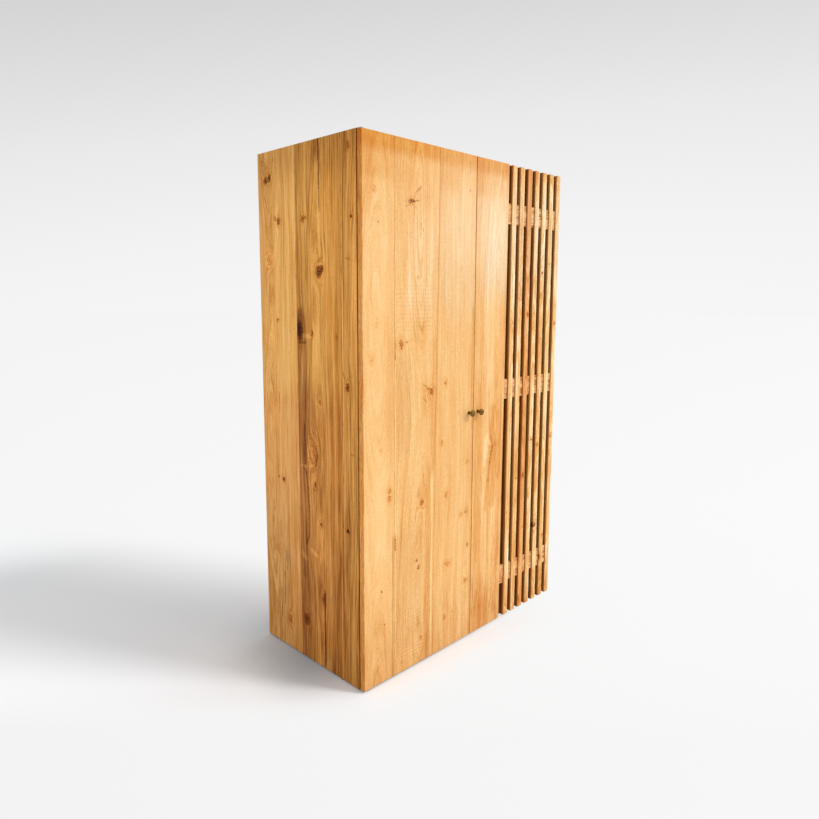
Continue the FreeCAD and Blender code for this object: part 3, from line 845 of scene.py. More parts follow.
def ridged_rail(node, body, slot, board):
    """Replaces a cross rail by its own solid with the saw's ridges along its front."""
    rng = random.Random(node)
    lay = board.lay
    mesh = cleaned(node)
    low, high = (corner[0] for corner in lay.box(node))
    up = lay.one_step(1.0, 0.0, 0.0).normalized()
    for i in range(int((high - low) / RIDGE_PITCH)):
        place = low + RIDGE_PITCH * (i + rng.uniform(*WITHIN_STEP))
        cut(mesh, lay.to_point((place, 0.0, 0.0)), up)
    cut_along(mesh, lay, end_limits(mesh, lay), RIDGE_STEP, rng)
    for vert in mesh.verts:
        across, depth, along = lay.of_point(vert.co)
        if depth < TOUCH:
            line = smooth_noise(across / SAW_LINE[0], along / SAW_LINE[1], 3.5)
            chip = smooth_noise(across / SAW_CHIP[0], along / SAW_CHIP[1], 8.5)
            depth += RIDGE_DEPTH * (0.5 + 0.9 * line + 0.5 * chip)
        vert.co = lay.to_point((across, depth, along))
    material = Wood(f"{node}_wood", board).material()
    return shown_piece(f"{node}_sawn", mesh, body, slot, material, node)


def new_object(name, data):
    made = bpy.data.objects.new(name, data)
    bpy.context.scene.collection.objects.link(made)
    return made


def shown_piece(name, mesh, body, slot, material, *nodes):
    """Makes the piece, rides it on its body and lets it stand for its nodes."""
    data = bpy.data.meshes.new(name)
    bmesh.ops.triangulate(mesh, faces=[f for f in mesh.faces if len(f.verts) > 4])
    mesh.to_mesh(data)
    mesh.free()
    for old_normals in [a for a in data.attributes if a.name == "custom_normal"]:
        data.attributes.remove(old_normals)
    data.shade_smooth()
    data.set_sharp_from_angle(angle=SHARP_ANGLE)
    data.materials.append(material)
    piece = new_object(name, data)
    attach(piece, body)
    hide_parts(*nodes)
    return piece


# --- The boards ---------------------------------------------------------------------------

# The specular level of old wood that shines little.
MATT = 0.06
# How strongly painted shade darkens the sides of a board that the open slats show.
GAP_SHADE_STRENGTH = 0.85
# Painted shade across the tops of the doors and the slats.
DOOR_TOP_SHADE = Band(ORANGE_SHADE, -20, 1220, 1943, 2100, 1.08, 1.5, 25.0)
PALE_TOP_SHADE = Band(ORANGE_SHADE, -20, 1220, 1943, 2100, 0.80, 1.5, 25.0)
SLAT_TOP_SHADE = Band(AMBER, -20, 1220, 1930, 2100, 0.35, 1.5, 50.0)
# Darker towards the foot of the doors and the slats.
DOOR_FOOT = Band(DULL, -20, 1220, -200, 150, 0.85, 1.5, 180.0)
# Painted shade on the left side: darker towards its top and towards its foot, and warmer and darker below
# about a metre.
SIDE_TOP_SHADE = Band(SHADED, -20, 620, 1890, 2300, 0.75, 2.0, 120.0)
SIDE_FOOT_SHADE = Band(SHADED, -20, 620, -1200, 480, 0.80, 2.0, 420.0)
SIDE_LOW_SHADE = Band(TAN_AND_SHADE, -20, 620, -1200, 1085, 1.10, 2.0, 80.0)


def door_board(log, shared=(DOOR_TOP_SHADE, DOOR_FOOT), **details):
    return Board(FRONT, "door", log, shared=shared, coat=0.20, specular=MATT, **details)


def side_board(palette, log, shared=(SIDE_TOP_SHADE, SIDE_FOOT_SHADE, SIDE_LOW_SHADE), **details):
    return Board(LEFT_SIDE, palette, log, shared=shared, specular=MATT, **details)


OUTER_DOOR_BOARD = door_board(
    Log(70, 58, 8, 17, 1500, 2.2, 7.5), rings=0.75, contrast=0.5, grime=(0.35, 0.25),
    knots=(
        (54, 1806, 5, 0.15, 1.6), (74, 1701, 2.4, 0.9, 0.3), (64, 1343, 4, 0.4, 0.4, 0.5),
        (67, 1357, 5, 0.4, 0.4, 0.5), (66, 1371, 4, 0.35, 0.3, 0.5), (43, 1230, 8, 0.25, 1.8),
        (84, 898, 5, 0.1, 1), (127, 742, 9, 0.55, 1.6), (126, 712, 9, 0.6, 0.9), (87, 367, 2.4, 1, 0.3),
        (100, 235, 2.6, 1, 0.3),
    ),
    strokes=(
        (UMBER, (56, 1817, 74, 1810, 2, 0.6)),
        (PALE, (36, 1236, 54, 1226, 7, 0.5), (60, 40, 104, 96, 2.5, 0.5), (56, 70, 96, 118, 2, 0.4)),
    ),
    bands=(
        (AMBER, (96, 150, 900, 1330, 0.3, 6, 120), (-20, 52, 1720, 1960, 0.55, 9, 60)),
        # Painted shade at the top of the board and on its left edge face.
        (ORANGE_SHADE, (-20, 150, 1846, 1960, 0.5, 6, 30), (-30, 1.6, -99, 2099, 0.85, 1)),
        (PALE, (46, 146, 300, 900, 0.5, 14, 110), (12, 112, 420, 1720, 0.62, 14, 160)),
        (UMBER, (139, 148, -20, 560, 0.85, 1.5, 20)),
    ),
)
MIDDLE_DOOR_BOARD = door_board(
    Log(290, 46, 14, 14, 1500, 0.6, 6), rings=0.9, contrast=0.66, grime=(0.28, 0.22),
    knots=(
        (230, 1785, 11, 0.88, 1.2, 0.75), (246, 1788, 7, 0.8, 0.4, 0.6), (268, 1518, 3.6, 0.7, 0.6),
        (184, 1280, 11, 0.64, 1.5), (186, 1262, 5, 0.7, 0.4, 0.7), (214, 1283, 4, 0.5, 0.3, 0.7),
        (240, 1290, 3.2, 0.5, 0.3, 0.7), (349, 1088, 11, 0.72, 1.3), (325, 1101, 7, 0.5, 0.6, 0.8),
        (296, 662, 12, 0.7, 2.6, 1.1), (270, 436, 4.5, 0.8, 0.6), (281, 403, 6, 0.95, 0.8),
        (296, 107, 5.5, 0.7, 0.9), (189, 46, 2.4, 0.9, 0.2),
    ),
    strokes=(
        (BROWN, (246, 1796, 262, 1824, 3.4, 0.45), (252, 1788, 272, 1792, 3.6, 0.9),
         (196, 1282, 240, 1290, 1.6, 0.55), (302, 1118, 322, 1108, 3.2, 0.6),
         (320, 1104, 344, 1098, 3.4, 0.65), (346, 1094, 360, 1108, 3.4, 0.6),
         (300, 1064, 318, 1052, 3, 0.35), (153, 1290, 154, 1222, 4, 0.75), (154, 560, 156, 510, 4.2, 0.9)),
        (UMBER, (262, 1824, 284, 1842, 4, 0.9), (278, 1840, 272, 1826, 3.4, 0.7),
         (228, 1776, 206, 1766, 3, 0.8), (240, 1776, 254, 1764, 3, 0.8), (284, 1712, 296, 1686, 3.4, 0.75),
         (302, 1070, 314, 1058, 3.2, 0.8)),
        (PALE, (356, 1647, 366, 1640, 6, 0.6)),
        (DARK, (306, 770, 307, 724, 1.6, 0.8)),
        (RUST, (150, 575, 152, 500, 8, 0.5)),
    ),
    bands=(
        (CREAM, (152, 157.5, 560, 1222, 0.95, 0.8, 12), (149, 158, 1330, 1760, 0.55, 1, 60),
         (152, 157.5, -40, 505, 0.9, 0.8, 20), (248, 252, 700, 1230, 0.4, 2.2, 90, 0.004),
         (262, 265, 700, 1130, 0.35, 2.2, 90, 0.004), (347, 357, -60, 745, 0.85, 1.8, 40, 0.004)),
        (UMBER, (168, 236, 880, 1255, 0.26, 7, 60), (318, 346, -60, 480, 0.3, 4, 60)),
        (PALE, (215, 345, 1400, 1720, 0.75, 16, 110), (240, 366, 1940, 2100, 0.35, 6, 25)),
        # A painted highlight high on the board, and painted shade at its top.
        (SHEEN_HIGHLIGHT, (215, 366, 1370, 1720, 0.6, 14, 90)),
        (ORANGE_SHADE, (150, 240, 1846, 1960, 0.34, 9, 30)),
        (DULL, (158, 300, 120, 560, 0.42, 9, 60)),
        (AMBER, (350, 364, 770, 1300, 0.6, 2, 30), (285, 350, 880, 1110, 0.5, 9, 60),
         (152, 224, 1480, 1920, 0.28, 9, 90), (318, 345, -60, 820, 0.45, 6, 120),
         (366, 388, 800, 1440, 0.6, 3, 60, 0.012)),
    ),
    sawn=((166, 352, 1310, 1490, 0.45), (172, 320, 160, 245, 0.5), (172, 300, 48, 118, 0.85)),
)
INNER_DOOR_BOARD = door_board(
    Log(700, 40, 6, 6, 1700, 1, 6.5), rings=0.7, contrast=0.58, grime=(0.3, 0.4),
    shared=(PALE_TOP_SHADE, DOOR_FOOT),
    knots=(
        (561, 1860, 2.4, 0.8, 0.2), (515, 1561, 4, 0.25, 0.6), (426, 1115, 8, 0.7, 1.2),
        (408, 877, 6, 0.45, 1), (566, 775, 6, 0.55, 1), (436, 663, 9, 0.6, 1.4), (561, 564, 10, 0.42, 1),
        (530, 558, 8, 0.3, 0.9), (574, 416, 7, 0.7, 0.8), (449, 368, 15, 0.38, 1.4, 0.6),
        (563, 263, 13, 0.62, 2, 0.8), (482, 152, 2.8, 1, 0.3), (434, 143, 7, 0.5, 0.9),
        (525, 21, 4, 0.4, 0.4),
    ),
    strokes=(
        (BROWN, (559, 1969, 558, 1918, 2.2, 0.7), (487, 1698, 495, 1716, 1.6, 0.4),
         (505, 1700, 496, 1716, 1.6, 0.4), (495, 1236, 496, 1262, 1.8, 0.5), (504, 976, 505, 996, 3.4, 0.6),
         (469, 292, 472, 262, 1.6, 0.5), (440, 368, 420, 380, 1.6, 0.5), (456, 356, 474, 348, 1.6, 0.5)),
    ),
    bands=(
        (AMBER, (582, 594, 1000, 1424, 0.9, 2.5), (586, 600, -20, 1000, 0.6, 3)),
        (CREAM, (595.5, 600, 960, 1440, 0.9, 0.8, 40)),
        (ORANGE, (372, 386, 1000, 1900, 0.55, 4, 100, 0.012)),
        # A painted highlight high on the board, and painted shade at its top.
        (SHEEN_HIGHLIGHT, (380, 600, 1410, 1870, 0.8, 18, 110)),
        (ORANGE_SHADE, (366, 490, 1846, 1960, 0.34, 9, 30)),
    ),
)
RIGHT_DOOR_BOARD = door_board(
    Log(760, 56, 8, 8, 1900, 3.4, 8), rings=0.8, contrast=0.8, grime=(0.25, 0), stain=GAP_SHADE_STRENGTH,
    knots=((657, 110, 5, 0.4, 0.9), (698, 1044, 2.6, 0.6, 0.3), (712, 790, 9, 0.15, 1.8, 3)),
    strokes=(
        (PALE, (692, 856, 682, 750, 25, 0.85)),
        (CREAM, (693, 838, 686, 780, 18, 0.4)),
        (AMBER, (752, 820, 734, 560, 26, 0.75), (736, 980, 724, 860, 21, 0.9),
         (764, 960, 752, 820, 15, 0.7), (704, 670, 690, 540, 13, 0.8)),
        (RUST, (724, 850, 730, 812, 9, 0.7), (730, 812, 716, 745, 10, 0.75), (716, 745, 704, 670, 12, 0.6)),
        (BROWN, (731, 806, 721, 776, 2.6, 0.9)),
    ),
    bands=(
        (PALE, (664, 690, 420, 700, 0.6, 9, 90), (730, 760, 360, 560, 0.5, 9, 90),
         (660, 795, 1090, 1500, 0.6, 12, 100), (732, 790, 480, 700, 0.45, 9, 60)),
        (AMBER, (612, 662, 80, 1080, 0.8, 9, 90), (606, 720, -60, 190, 0.75, 9, 90),
         (764, 792, 20, 1500, 0.5, 6, 60, 0.02)),
        (CREAM, (600.5, 606, -20, 690, 0.7, 0.8, 30)),
        # Painted highlights high on the board, and painted shade at its top.
        (SHEEN_HIGHLIGHT, (606, 800, 1470, 1890, 0.95, 14, 110), (655, 800, 1430, 1720, 0.6, 14, 90)),
        (ORANGE_SHADE, (600, 662, 1846, 1960, 0.6, 6, 30), (662, 800, 1846, 1960, 0.36, 6, 30)),
    ),
)
REAR_SIDE_BOARD = side_board(
    "side_pale", Log(60, 44, 10, 14, 1400, 4, 6.5), rings=0.7, contrast=0.8, grime=(0.1, 0.35),
    knots=(
        (54, 1891, 12.2, 0.95, 1), (80, 1899, 10.8, 0.95, 0.8), (112, 1744, 9.5, 0.5, 0.7),
        (137, 1733, 10.8, 0.85, 1), (70, 1588, 16.2, 0.4, 2.2), (117, 1353, 5.4, 0.9, 0.7),
        (135, 714, 8.1, 1, 0.9), (100, 720, 4.1, 0.8, 0.3), (87, 412, 9.5, 0.4, 1.3),
        (162, 128, 14.9, 0.6, 2),
    ),
    strokes=(
        (DARK, (30, 1972, 34, 1952, 4, 0.85), (34, 1940, 36, 1924, 3.4, 0.8),
         (105, 1960, 108, 1970, 4, 0.6)),
        (HEART, (117, 1069, 118, 986, 3, 0.9), (100, 1180, 97, 1030, 2, 0.6)),
        (BROWN, (118, 1352, 136, 1360, 1.8, 0.6), (225, 1378, 232, 1376, 2, 0.7),
         (220, 1330, 228, 1323, 2, 0.7), (54, 1572, 76, 1568, 2.2, 0.6), (48, 1590, 56, 1596, 2, 0.5)),
    ),
    bands=(
        (FADED, (40, 130, 1200, 1700, 0.6, 12, 90), (60, 120, 900, 1100, 0.9, 9, 50),
         (176, 240, 80, 480, 0.9, 9, 60)),
        (PALE, (160, 186, 700, 1150, 0.35, 8, 90), (90, 130, 1380, 1700, 0.25, 8, 90)),
        (HEART, (0, 30, 1000, 2000, 0.18, 9)),
        (ORANGE, (196, 240, 1000, 2000, 0.45, 8, 120)),
        (TAN_AND_SHADE, (-20, 60, 1480, 1960, 0.7, 6, 60)),
    ),
    checks=((142, 320, 430, 3, 4), (129, 170, 332, 3, 4), (103, 100, 250, 2.6, 4)),
)
MIDDLE_SIDE_BOARD = side_board(
    "side", Log(372, 60, 5, 6, 2600, 5.2, 4.8), rings=0.8, contrast=0.85, grime=(0.7, 0.85),
    knots=(
        (293, 1731, 9.5, 0.75, 1), (312, 1735, 5.4, 0.5, 0.4), (384, 1534, 17.6, 0.85, 2.2),
        (403, 1545, 10.8, 0.7, 0.6), (260, 1316, 21.6, 1, 1.6, 1.7), (334, 849, 23, 0.45, 3.2, 1.7),
        (345, 732, 6.8, 0.85, 0.8, 1.6), (382, 1058, 8.1, 0.45, 1.2), (379, 584, 7.4, 0.75, 0.9),
        (388, 286, 9.5, 0.8, 1.6, 2), (279, 166, 19, 0.8, 1.6), (485, 1302, 5.4, 0.5, 0.8),
        (338, 1306, 6.8, 0.75, 0.6),
    ),
    strokes=(
        (SAND, (284, 1300, 326, 1300, 12, 1), (250, 1290, 262, 1294, 6, 0.5),
         (322, 872, 330, 842, 12, 0.85), (302, 912, 302, 806, 14, 0.45), (320, 790, 322, 650, 22, 0.35),
         (252, 795, 300, 796, 7, 0.85), (316, 466, 350, 452, 10, 1), (254, 440, 284, 420, 12, 0.9),
         (396, 1990, 395, 1860, 3.6, 0.8)),
        (HEART, (252, 1272, 300, 1276, 6, 0.8), (284, 960, 283, 806, 7, 0.95),
         (272, 790, 290, 772, 5, 0.95), (290, 772, 299, 710, 5, 1), (299, 710, 304, 640, 5, 1),
         (304, 640, 302, 520, 5, 0.9), (302, 520, 286, 486, 6, 0.9), (244, 470, 246, 440, 6, 0.8),
         (345, 740, 344, 724, 4, 0.8), (256, 1370, 262, 1310, 10, 0.7), (262, 405, 270, 350, 17, 0.5)),
        (BROWN, (334, 1322, 346, 1310, 4, 0.8), (352, 886, 363, 850, 5, 0.9), (363, 850, 352, 812, 6, 0.9),
         (338, 862, 354, 826, 4, 0.8), (376, 1620, 380, 1600, 3.6, 0.7), (380, 1600, 392, 1560, 3.6, 0.7)),
        (HEARTWOOD, (262, 1390, 258, 1300, 15, 0.9)),
        (DARK, (391, 2000, 389, 1880, 3.4, 0.45), (389, 1880, 393, 1750, 3.6, 0.6),
         (396, 320, 394, 10, 4.6, 0.6)),
    ),
    bands=(
        (HEARTWOOD, (230, 303, 440, 1400, 0.85, 5, 50), (238, 288, 1265, 1400, 0.4, 6, 40),
         (300, 350, 900, 1110, 0.55, 7, 60), (262, 300, 800, 1110, 0.5, 5, 60),
         (238, 300, -40, 430, 0.85, 8, 60)),
        (FADED, (340, 460, 1270, 1900, 0.9, 14, 90), (352, 450, -40, 600, 0.75, 10, 90)),
        (ORANGE, (440, 512, 700, 1900, 0.6, 8, 160)),
        (SAND, (350, 374, 1100, 1330, 0.35, 5, 60), (304, 350, 700, 900, 0.28, 6, 40)),
    ),
    checks=((391, 1745, 2000, 2.2, 4), (396, 5, 330, 3.2, 4)),
)
FRONT_SIDE_BOARD = side_board(
    "side", Log(640, 26, 8, 10, 1400, 1.4, 4.2), rings=0.75, contrast=0.8, grime=(0, 0.35),
    shared=(SIDE_TOP_SHADE, SIDE_FOOT_SHADE),
    knots=(
        (570, 1717, 6.1, 1, 0.9), (552, 1577, 5.4, 0.6, 1.2, 0.7), (545, 1128, 10.8, 0.9, 1.6),
        (565, 887, 5.4, 0.4, 0.8, 0.6), (540, 599, 8.1, 1, 1), (556, 1950, 8.1, 0.5, 1),
    ),
    strokes=(
        (BROWN, (572, 1726, 584, 1752, 2, 0.6), (530, 1580, 584, 1568, 1.8, 0.7)),
        (HEART, (516, 1182, 526, 1160, 5, 0.7)),
    ),
    bands=(
        # Painted shade along the side's front strip and front edge, in the gap by the door.
        (DOOR_GAP_SHADE, (597, 640, -99, 2099, 0.95, 1.2)),
        (TAN_AND_SHADE, (-20, 620, -99, 2099, 0.35, 2)),
        (FADED, (558, 596, 1180, 1960, 0.9, 4, 90)),
        (SAND, (558, 596, 1280, 1940, 0.22, 4, 90), (515, 520.5, 1190, 2030, 1.25, 0.5, 20),
         (515, 519.5, 860, 1190, 0.9, 0.5, 30)),
        (HEART, (521, 526.5, 1190, 2030, 0.75, 1.2, 30)),
    ),
)
LEFT_DOOR_BOARDS = {
    "outer": OUTER_DOOR_BOARD, "middle": MIDDLE_DOOR_BOARD, "inner": INNER_DOOR_BOARD,
}
LEFT_SIDE_BOARDS = {
    "rear": REAR_SIDE_BOARD, "middle": MIDDLE_SIDE_BOARD, "front": FRONT_SIDE_BOARD,
}

# How far in from a board's long edges its scattered knots keep, and the limits of their size,
# their darkness, their bend and their stretch.
KNOT_INSET = 8
KNOT_LIMITS = ((3.5, 9.0), (0.4, 0.95), (0.8, 1.8), (0.9, 1.5))
# How far above or below a plain board's face its pith lies, and the limits of its two swings,
# of their wave and of its phase.
PITH_DEPTHS = (30, 90)
SWING_LIMITS = ((4, 14), (8, 18), (1200, 1800), (0, TAU))


def draws(rng, limits):
    """A random number between each pair of limits, in their order."""
    return [rng.uniform(low, high) for low, high in limits]


def scattered_knots(node, lay, amount):
    """Small knots here and there on a board that has no marks of its own."""
    rng = random.Random(node + " knots")
    across, _, along = (sorted(pair) for pair in zip(*lay.box(node)))
    inner = (across[0] + KNOT_INSET, across[1] - KNOT_INSET)
    knots = []
    for i in range(amount):
        share = (i + rng.uniform(*WITHIN_STEP)) / amount
        up = along[0] + share * (along[1] - along[0])
        knots.append((rng.uniform(*inner), up, *draws(rng, KNOT_LIMITS)))
    return knots


def plain_board(node, lay, palette, knots, spacing=6.0, **extra):
    """Wood with a log of its own, for a board that the eye doesn't rest on."""
    rng = random.Random(node + " log")
    low, high = (corner[0] for corner in lay.box(node))
    pith_across = rng.uniform(low, high)
    pith_depth = rng.uniform(*PITH_DEPTHS) * rng.choice((-1, 1))
    log = Log(pith_across, pith_depth, *draws(rng, SWING_LIMITS), spacing)
    return Board(lay, palette, log, knots=scattered_knots(node, lay, knots), **extra)


# Slats, from the left: their palette, the tint along their left edge, and the knots that show.
SLATS = (
    ("slat", ORANGE), ("slat", PALE), ("slat_orange", AMBER, (962, 643, 8, 0.75, 1.2)),
    ("slat", ORANGE), ("slat", AMBER, (1066, 380, 12, 1.0, 1.2)),
    ("slat", OLIVE, (1113, 206, 11, 1.0, 1.0)), ("slat", ORANGE),
)
# A painted highlight along a slat's right edge, which faces the light, and a darker stripe of wood on its
# left.
LIT_EDGE_WIDTH = 7.0
WARM_WIDTH = 9.0
# How far a band runs past a slat's edge.
BEYOND = 9


def dressed_slat(node, palette, tint, *knots):
    left, right = (corner[0] for corner in FRONT.box(node))
    bands = (
        # Painted highlights: along the slat's right edge, and high on its face.
        (CREAM, (right - LIT_EDGE_WIDTH, right + BEYOND, -99, 2099, 0.60, 2.0)),
        (SHEEN_HIGHLIGHT, (left - BEYOND, right + BEYOND, 1480, 1900, 0.90, 2.0, 120.0)),
        (tint, (left - BEYOND, left + WARM_WIDTH, -99, 2099, 0.50, 3.5)),
    )
    board = plain_board(node, FRONT, palette, 2, spacing=6.5, contrast=1.15, bands=bands,
                        shared=(SLAT_TOP_SHADE, DOOR_FOOT), specular=MATT, grime=(0.0, 0.0),
                        stain=GAP_SHADE_STRENGTH)
    board.knots += marks(Knot, knots)
    worked_board(node, "right_door", "slat_wood", board, step=18.0, wear=0.7, wave=1.0)


def repaint(node, lay, knots, **looks):
    """Gives a node the cupboard's inner wood and leaves its shape as it is."""
    board = plain_board(node, lay, "inner", knots, **looks)
    assign(node, Wood(f"{node}_wood", board).material())


def dress_doors():
    for place, board in LEFT_DOOR_BOARDS.items():
        worked_board(f"left_door_board_{place}", "left_door", "door_wood", board)
    worked_board("right_door_board", "right_door", "door_wood", RIGHT_DOOR_BOARD)
    for i, slat in enumerate(SLATS):
        dressed_slat(f"right_door_slat_{i + 1}", *slat)
    for place in ("lower", "middle", "upper"):
        rail = f"lattice_rail_{place}"
        board = plain_board(rail, rail_lay(rail), "rail", 1, dullness=0.62, rough=1.0, ridged=True)
        ridged_rail(rail, "right_door", "cross_rail_wood", board)
        ledge = f"left_door_ledge_{place}"
        repaint(ledge, rail_lay(ledge), 3, dullness=0.5, rough=0.3)


def dress_carcass():
    for place, board in LEFT_SIDE_BOARDS.items():
        worked_board(f"left_side_board_{place}", "carcass", "carcass_wood", board)
    for place, knots in (("rear", 7), ("middle", 9), ("front", 5)):
        node = f"right_side_board_{place}"
        board = plain_board(node, RIGHT_SIDE, "side", knots, grime=(0.4, 0.4))
        worked_board(node, "carcass", "carcass_wood", board)
    for node in ("top_board_rear", "top_board_front", "base_board_rear", "base_board_front"):
        worked_board(node, "carcass", "carcass_wood", plain_board(node, flat_lay(node), "side", 5))
    for i in range(5):
        repaint(f"back_board_{i + 1}", UPRIGHT, 6, dullness=0.6, rough=0.4)
    for node in ["hat_shelf"] + [f"left_shelf_{i + 1}" for i in range(4)]:
        repaint(node, flat_lay(node), 4, dullness=0.5)
    repaint("centre_partition", PARTITION, 8, dullness=0.5)


# --- Metal and plastic --------------------------------------------------------------------
# The plain numbers in their materials are sizes of features, and shares.


def assign(node, material):
    slots = frame["nodes"][node].data.materials
    slots.clear()
    slots.append(material)


def metal_material(name, bright, dull, dullness, patina):
    """Metal that is dull in patches, with fine scratches."""
    surface = Surface(name)
    place = surface.object_place()
    cloud = surface.noise(place, (5, 5, 5), surface.seed, detail=4.0)
    worn = cloud.drop(0.40, 0.62) * patina
    colour = surface.blend(worn, paint(bright), paint(dull))
    scratch = surface.noise(place, (0.25, 3.0, 0.25), surface.seed + 1, detail=2.0)
    surface.bump(scratch, 0.02)
    roughness = worn * 0.22 + dullness + (scratch - 0.5) * 0.15
    return surface.finish(colour, roughness, Metallic=1.0)


def plastic_material(name, colour, dullness):
    """Moulded plastic with a fine sparked face."""
    surface = Surface(name)
    place = surface.object_place()
    grain = surface.noise(place, (0.35, 0.35, 0.35), surface.seed, detail=2.0)
    cloud = surface.noise(place, (9, 9, 9), surface.seed + 1)
    shade = surface.scaled(paint(colour)[:3], cloud * 0.3 + 0.85)
    surface.bump(grain, 0.03)
    return surface.finish(shade, grain * 0.15 + dullness)


def dress_hardware():
    finishes = {
        "antique_brass": metal_material("antique_brass", "8F7030", "5A4520", 0.34, 0.9),
        "bright_brass": metal_material("satin_brass", "D8B266", "A07C3C", 0.26, 0.4),
        "hardware_steel": metal_material("zinc_steel", "B8B4AA", "8A867C", 0.32, 0.5),
        "catch_plastic": plastic_material("catch_brown", "4A3020", 0.45),
        "glide_plastic": plastic_material("glide_black", "2A2724", 0.5),
    }
    for part in frame["record"]["subparts"]:
        if part["material_slot"] in finishes:
            assign(part["node"], finishes[part["material_slot"]])


# --- Floor, light and camera --------------------------------------------------------------

# The directions in which the picture's left and its distance lie, on the floor.
PICTURE_LEFT = (-0.698, 0.716, 0.0)
PICTURE_AWAY = (0.716, 0.698, 0.0)
# The backdrop's tones from the horizon up, by the share of the way to straight up.
BACKDROP = [(0.0, "F6F6F6"), (0.13, "F2F2F2"), (0.25, "EAEAEA"), (0.36, "DCDCDC"),
            (0.5, "C8C8C8")]
# How much further up those tones the backdrop is to the left, and at either side.
LEFT_RISE = 0.08
SIDE_RISE = 0.16
# The floor's tones from near the picture's lower edge to far behind the cupboard.
FLOOR_TONES = [(0.0, "F5F5F5"), (0.2, "F7F7F7"), (0.55, "F8F8F8"), (0.8, "F7F7F7"),
               (1.0, "F5F5F5")]
# A painted shadow: the floor's darker, cooler tint close beside the cupboard's left side.
FOOT_SHADOW_TONE = "C6CDD2"
# The floor as the camera sees it, and as it lights the cupboard.
SEEN_FLOOR = "F1F3F5"
LIGHTING_FLOOR = "CCCCCC"
FLOOR_REACH = 60.0
# How far before the cupboard's middle the floor's distances are measured from, the distance at
# which its tones start, and the least one that counts, all in metres.
TONE_START = 2.88
FIRST_REACH = 2.0
NEAREST_REACH = 1.5
# Between which distances away from the cupboard's middle, in metres, the floor comes to show its
# own tone behind it, two metres to the left, and how much sooner for each metre to the right.
BEHIND = (0.25, 1.15)
BEHIND_LEFT = 2.0
BEHIND_TURN = 0.35
# The same before its doors, at its right and towards the camera, and how much of its own tone
# the floor shows at the first two.
BEFORE_DOORS = (-0.50, -0.27)
AT_RIGHT = (0.58, 0.74)
NEAR_CAMERA = (-0.86, -0.62)
NEARBY_SHARE = 0.94
# How far the painted shadow beside the cupboard's foot reaches from its left side, and where
# along that side it begins and ends, in metres.
FOOT_REACH = 0.30
FOOT_FRONT = (-0.26, 0.0)
FOOT_BACK = (0.05, 0.60)
# A place's slant is how far it lies to the picture's left, over its distance. How much tone the
# floor loses with it, and the slant beyond which it loses no more.
SLANT_LOSS = 0.03
WIDEST_SLANT = 0.7
FILL_STRENGTH = 0.70
# How much stronger the fill is from the picture's right than from all round.
FILL_SLOPE = 0.45


def backdrop_tone(graph, direction):
    """The backdrop darkens upwards, and to the picture's left."""
    left = graph.measure("DOT_PRODUCT", direction, PICTURE_LEFT)
    _, _, up = graph.split(direction)
    return graph.ramp(up + left * LEFT_RISE + left * left * SIDE_RISE, BACKDROP)


def seen_directly(graph):
    """1 for the camera and in mirror reflections, and 0 for the light that falls on things."""
    rays = graph.add("ShaderNodeLightPath")
    return graph.math("MAXIMUM", rays.outputs["Is Camera Ray"], rays.outputs["Is Glossy Ray"])


def floor_tone(graph, left, away):
    """The floor is a little darker in front, far off, and to the left."""
    reach = (away + TONE_START).math("MAXIMUM", NEAREST_REACH)
    slant = left.math("DIVIDE", reach).clamped(-WIDEST_SLANT, WIDEST_SLANT)
    tone = graph.ramp(1.0 - graph.math("DIVIDE", FIRST_REACH, reach), FLOOR_TONES)
    return graph.scaled(tone, 1.0 - slant * SLANT_LOSS)


def own_tone_share(graph, place, left, away):
    """1 where the floor shows its own tone, which no shadow darkens: behind the cupboard and
    near the camera, and almost so before its doors and at its right."""
    right, back, _ = graph.split(place)
    behind = (away + (BEHIND_LEFT - left) * BEHIND_TURN).rise(*BEHIND)
    before = back.drop(*BEFORE_DOORS).math("MAXIMUM", right.rise(*AT_RIGHT)) * NEARBY_SHARE
    near = away.drop(*NEAR_CAMERA)
    return behind.math("MAXIMUM", before).math("MAXIMUM", near)


def contact_shadow_area(graph, place):
    """Where the floor's painted shadow lies: 1 close beside the cupboard's left side, and 0 away from it.
    """
    right, back, _ = graph.split(place)
    gap = CAD_BOX[0][0] - right
    return gap.drop(0.0, FOOT_REACH) * back.rise(*FOOT_FRONT) * back.drop(*FOOT_BACK)


def floor_material():
    """Beside the cupboard the floor takes its shadow, darkened further by a painted shadow close to its
    left side, and elsewhere it has its own tone.
    """
    graph = Graph(bpy.data.materials.new("floor"))
    graph.tree.nodes.remove(graph.tree.nodes["Principled BSDF"])
    place = graph.add("ShaderNodeTexCoord").outputs["Object"]
    left = graph.measure("DOT_PRODUCT", place, PICTURE_LEFT)
    away = graph.measure("DOT_PRODUCT", place, PICTURE_AWAY)
    seen = seen_directly(graph)
    pale = graph.blend(seen, paint(LIGHTING_FLOOR), paint(SEEN_FLOOR))
    # A painted shadow on the floor close beside the cupboard's left side.
    pale = graph.blend(seen * contact_shadow_area(graph, place), pale, paint(FOOT_SHADOW_TONE), "MULTIPLY")
    diffuse = graph.add("ShaderNodeBsdfDiffuse", (pale,))
    glow = graph.add("ShaderNodeEmission", (floor_tone(graph, left, away), 1.0))
    share = own_tone_share(graph, place, left, away)
    mix = graph.add("ShaderNodeMixShader", (seen * share, diffuse.outputs[0], glow.outputs[0]))
    graph.feed(graph.tree.nodes["Material Output"].inputs["Surface"], mix.outputs[0])
    return graph.owner


def stage_floor():
    mesh = bmesh.new()
    bmesh.ops.create_grid(mesh, x_segments=2, y_segments=2, size=FLOOR_REACH)
    data = bpy.data.meshes.new("floor")
    mesh.to_mesh(data)
    mesh.free()
    data.materials.append(floor_material())
    new_object("floor", data)


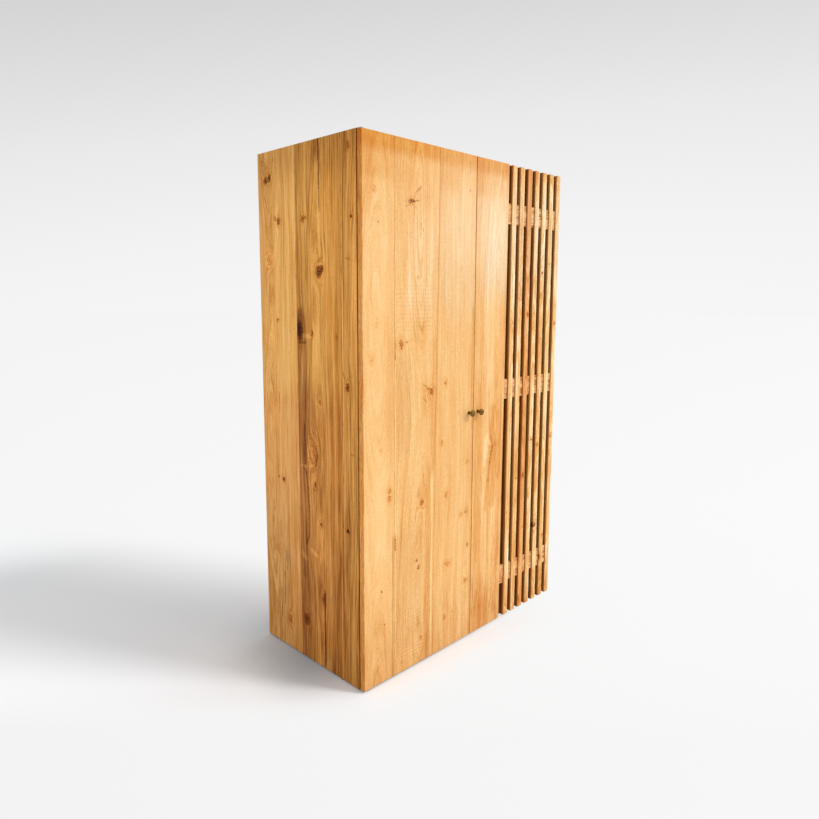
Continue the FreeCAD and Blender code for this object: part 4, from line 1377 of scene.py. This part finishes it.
def studio_world():
    """Soft fill, stronger from the picture's right, and a backdrop that the camera sees."""
    world = bpy.data.worlds.new("studio")
    bpy.context.scene.world = world
    graph = Graph(world)
    direction = graph.add("ShaderNodeTexCoord").outputs["Generated"]
    backdrop = graph.tree.nodes["Background"]
    graph.feed(backdrop.inputs[0], backdrop_tone(graph, direction))
    left = graph.measure("DOT_PRODUCT", direction, PICTURE_LEFT)
    strength = (1.0 - left * FILL_SLOPE) * FILL_STRENGTH
    fill = graph.add("ShaderNodeBackground", (paint("FFFFFF"), strength))
    mix = graph.add("ShaderNodeMixShader", (seen_directly(graph), fill.outputs[0],
                                            backdrop.outputs[0]))
    graph.feed(graph.tree.nodes["World Output"].inputs["Surface"], mix.outputs[0])


def place_lamp(name, kind, place, target, strength, **settings):
    """A white lamp."""
    lamp = bpy.data.lights.new(name, kind)
    lamp.energy = strength
    for key, value in settings.items():
        setattr(lamp, key, value)
    holder = new_object(name, lamp)
    holder.location = place
    aim = Vector(target) - Vector(place)
    holder.rotation_euler = aim.to_track_quat("-Z", "Y").to_euler()


def studio_light():
    """The key stands far off at the front right, the window near it, and a weak fill at the
    left. Places and sizes are in metres, strengths in watts, and the key's in watts for each
    square metre."""
    place_lamp("key_light", "SUN", (2.9, -4.4, 5.1), (0.0, 0.0, 0.0), 1.36,
               angle=math.radians(12.0))
    place_lamp("window_light", "AREA", (6.6, -5.4, 2.68), (0.1, -0.3, 1.75), 104.0, size=1.3)
    place_lamp("side_fill", "AREA", (-4.6, -0.4, 1.2), (-0.6, 0.0, 1.1), 46.0, size=2.2)


# The lens and the place of the camera, worked out from the cabinet's corners in the picture.
IMAGE_SIDE = 819.0
FOCAL_PIXELS = 655.3
PRINCIPAL_POINT = (418.5, 384.7)
CAMERA_PLACE = (-2.0684, -1.9998, 1.4414)
CAMERA_HEADING = 45.732
CAMERA_DOWN = 7.493
CAMERA_ROLL = 0.310
SENSOR_WIDTH = 36.0


def studio_camera():
    lens = bpy.data.cameras.new("camera")
    lens.sensor_width = SENSOR_WIDTH
    lens.lens = FOCAL_PIXELS / IMAGE_SIDE * lens.sensor_width
    lens.shift_x = 0.5 - PRINCIPAL_POINT[0] / IMAGE_SIDE
    lens.shift_y = PRINCIPAL_POINT[1] / IMAGE_SIDE - 0.5
    camera = new_object("camera", lens)
    turn = Matrix.Rotation(math.radians(-CAMERA_HEADING), 4, "Z")
    tilt = Matrix.Rotation(math.radians(90.0 - CAMERA_DOWN), 4, "X")
    roll = Matrix.Rotation(math.radians(CAMERA_ROLL), 4, "Z")
    camera.matrix_world = Matrix.Translation(CAMERA_PLACE) @ turn @ tilt @ roll
    bpy.context.scene.camera = camera


bpy.context.scene.view_settings.view_transform = "Standard"
dress_doors()
dress_carcass()
dress_hardware()
stage_floor()
studio_world()
studio_light()
studio_camera()
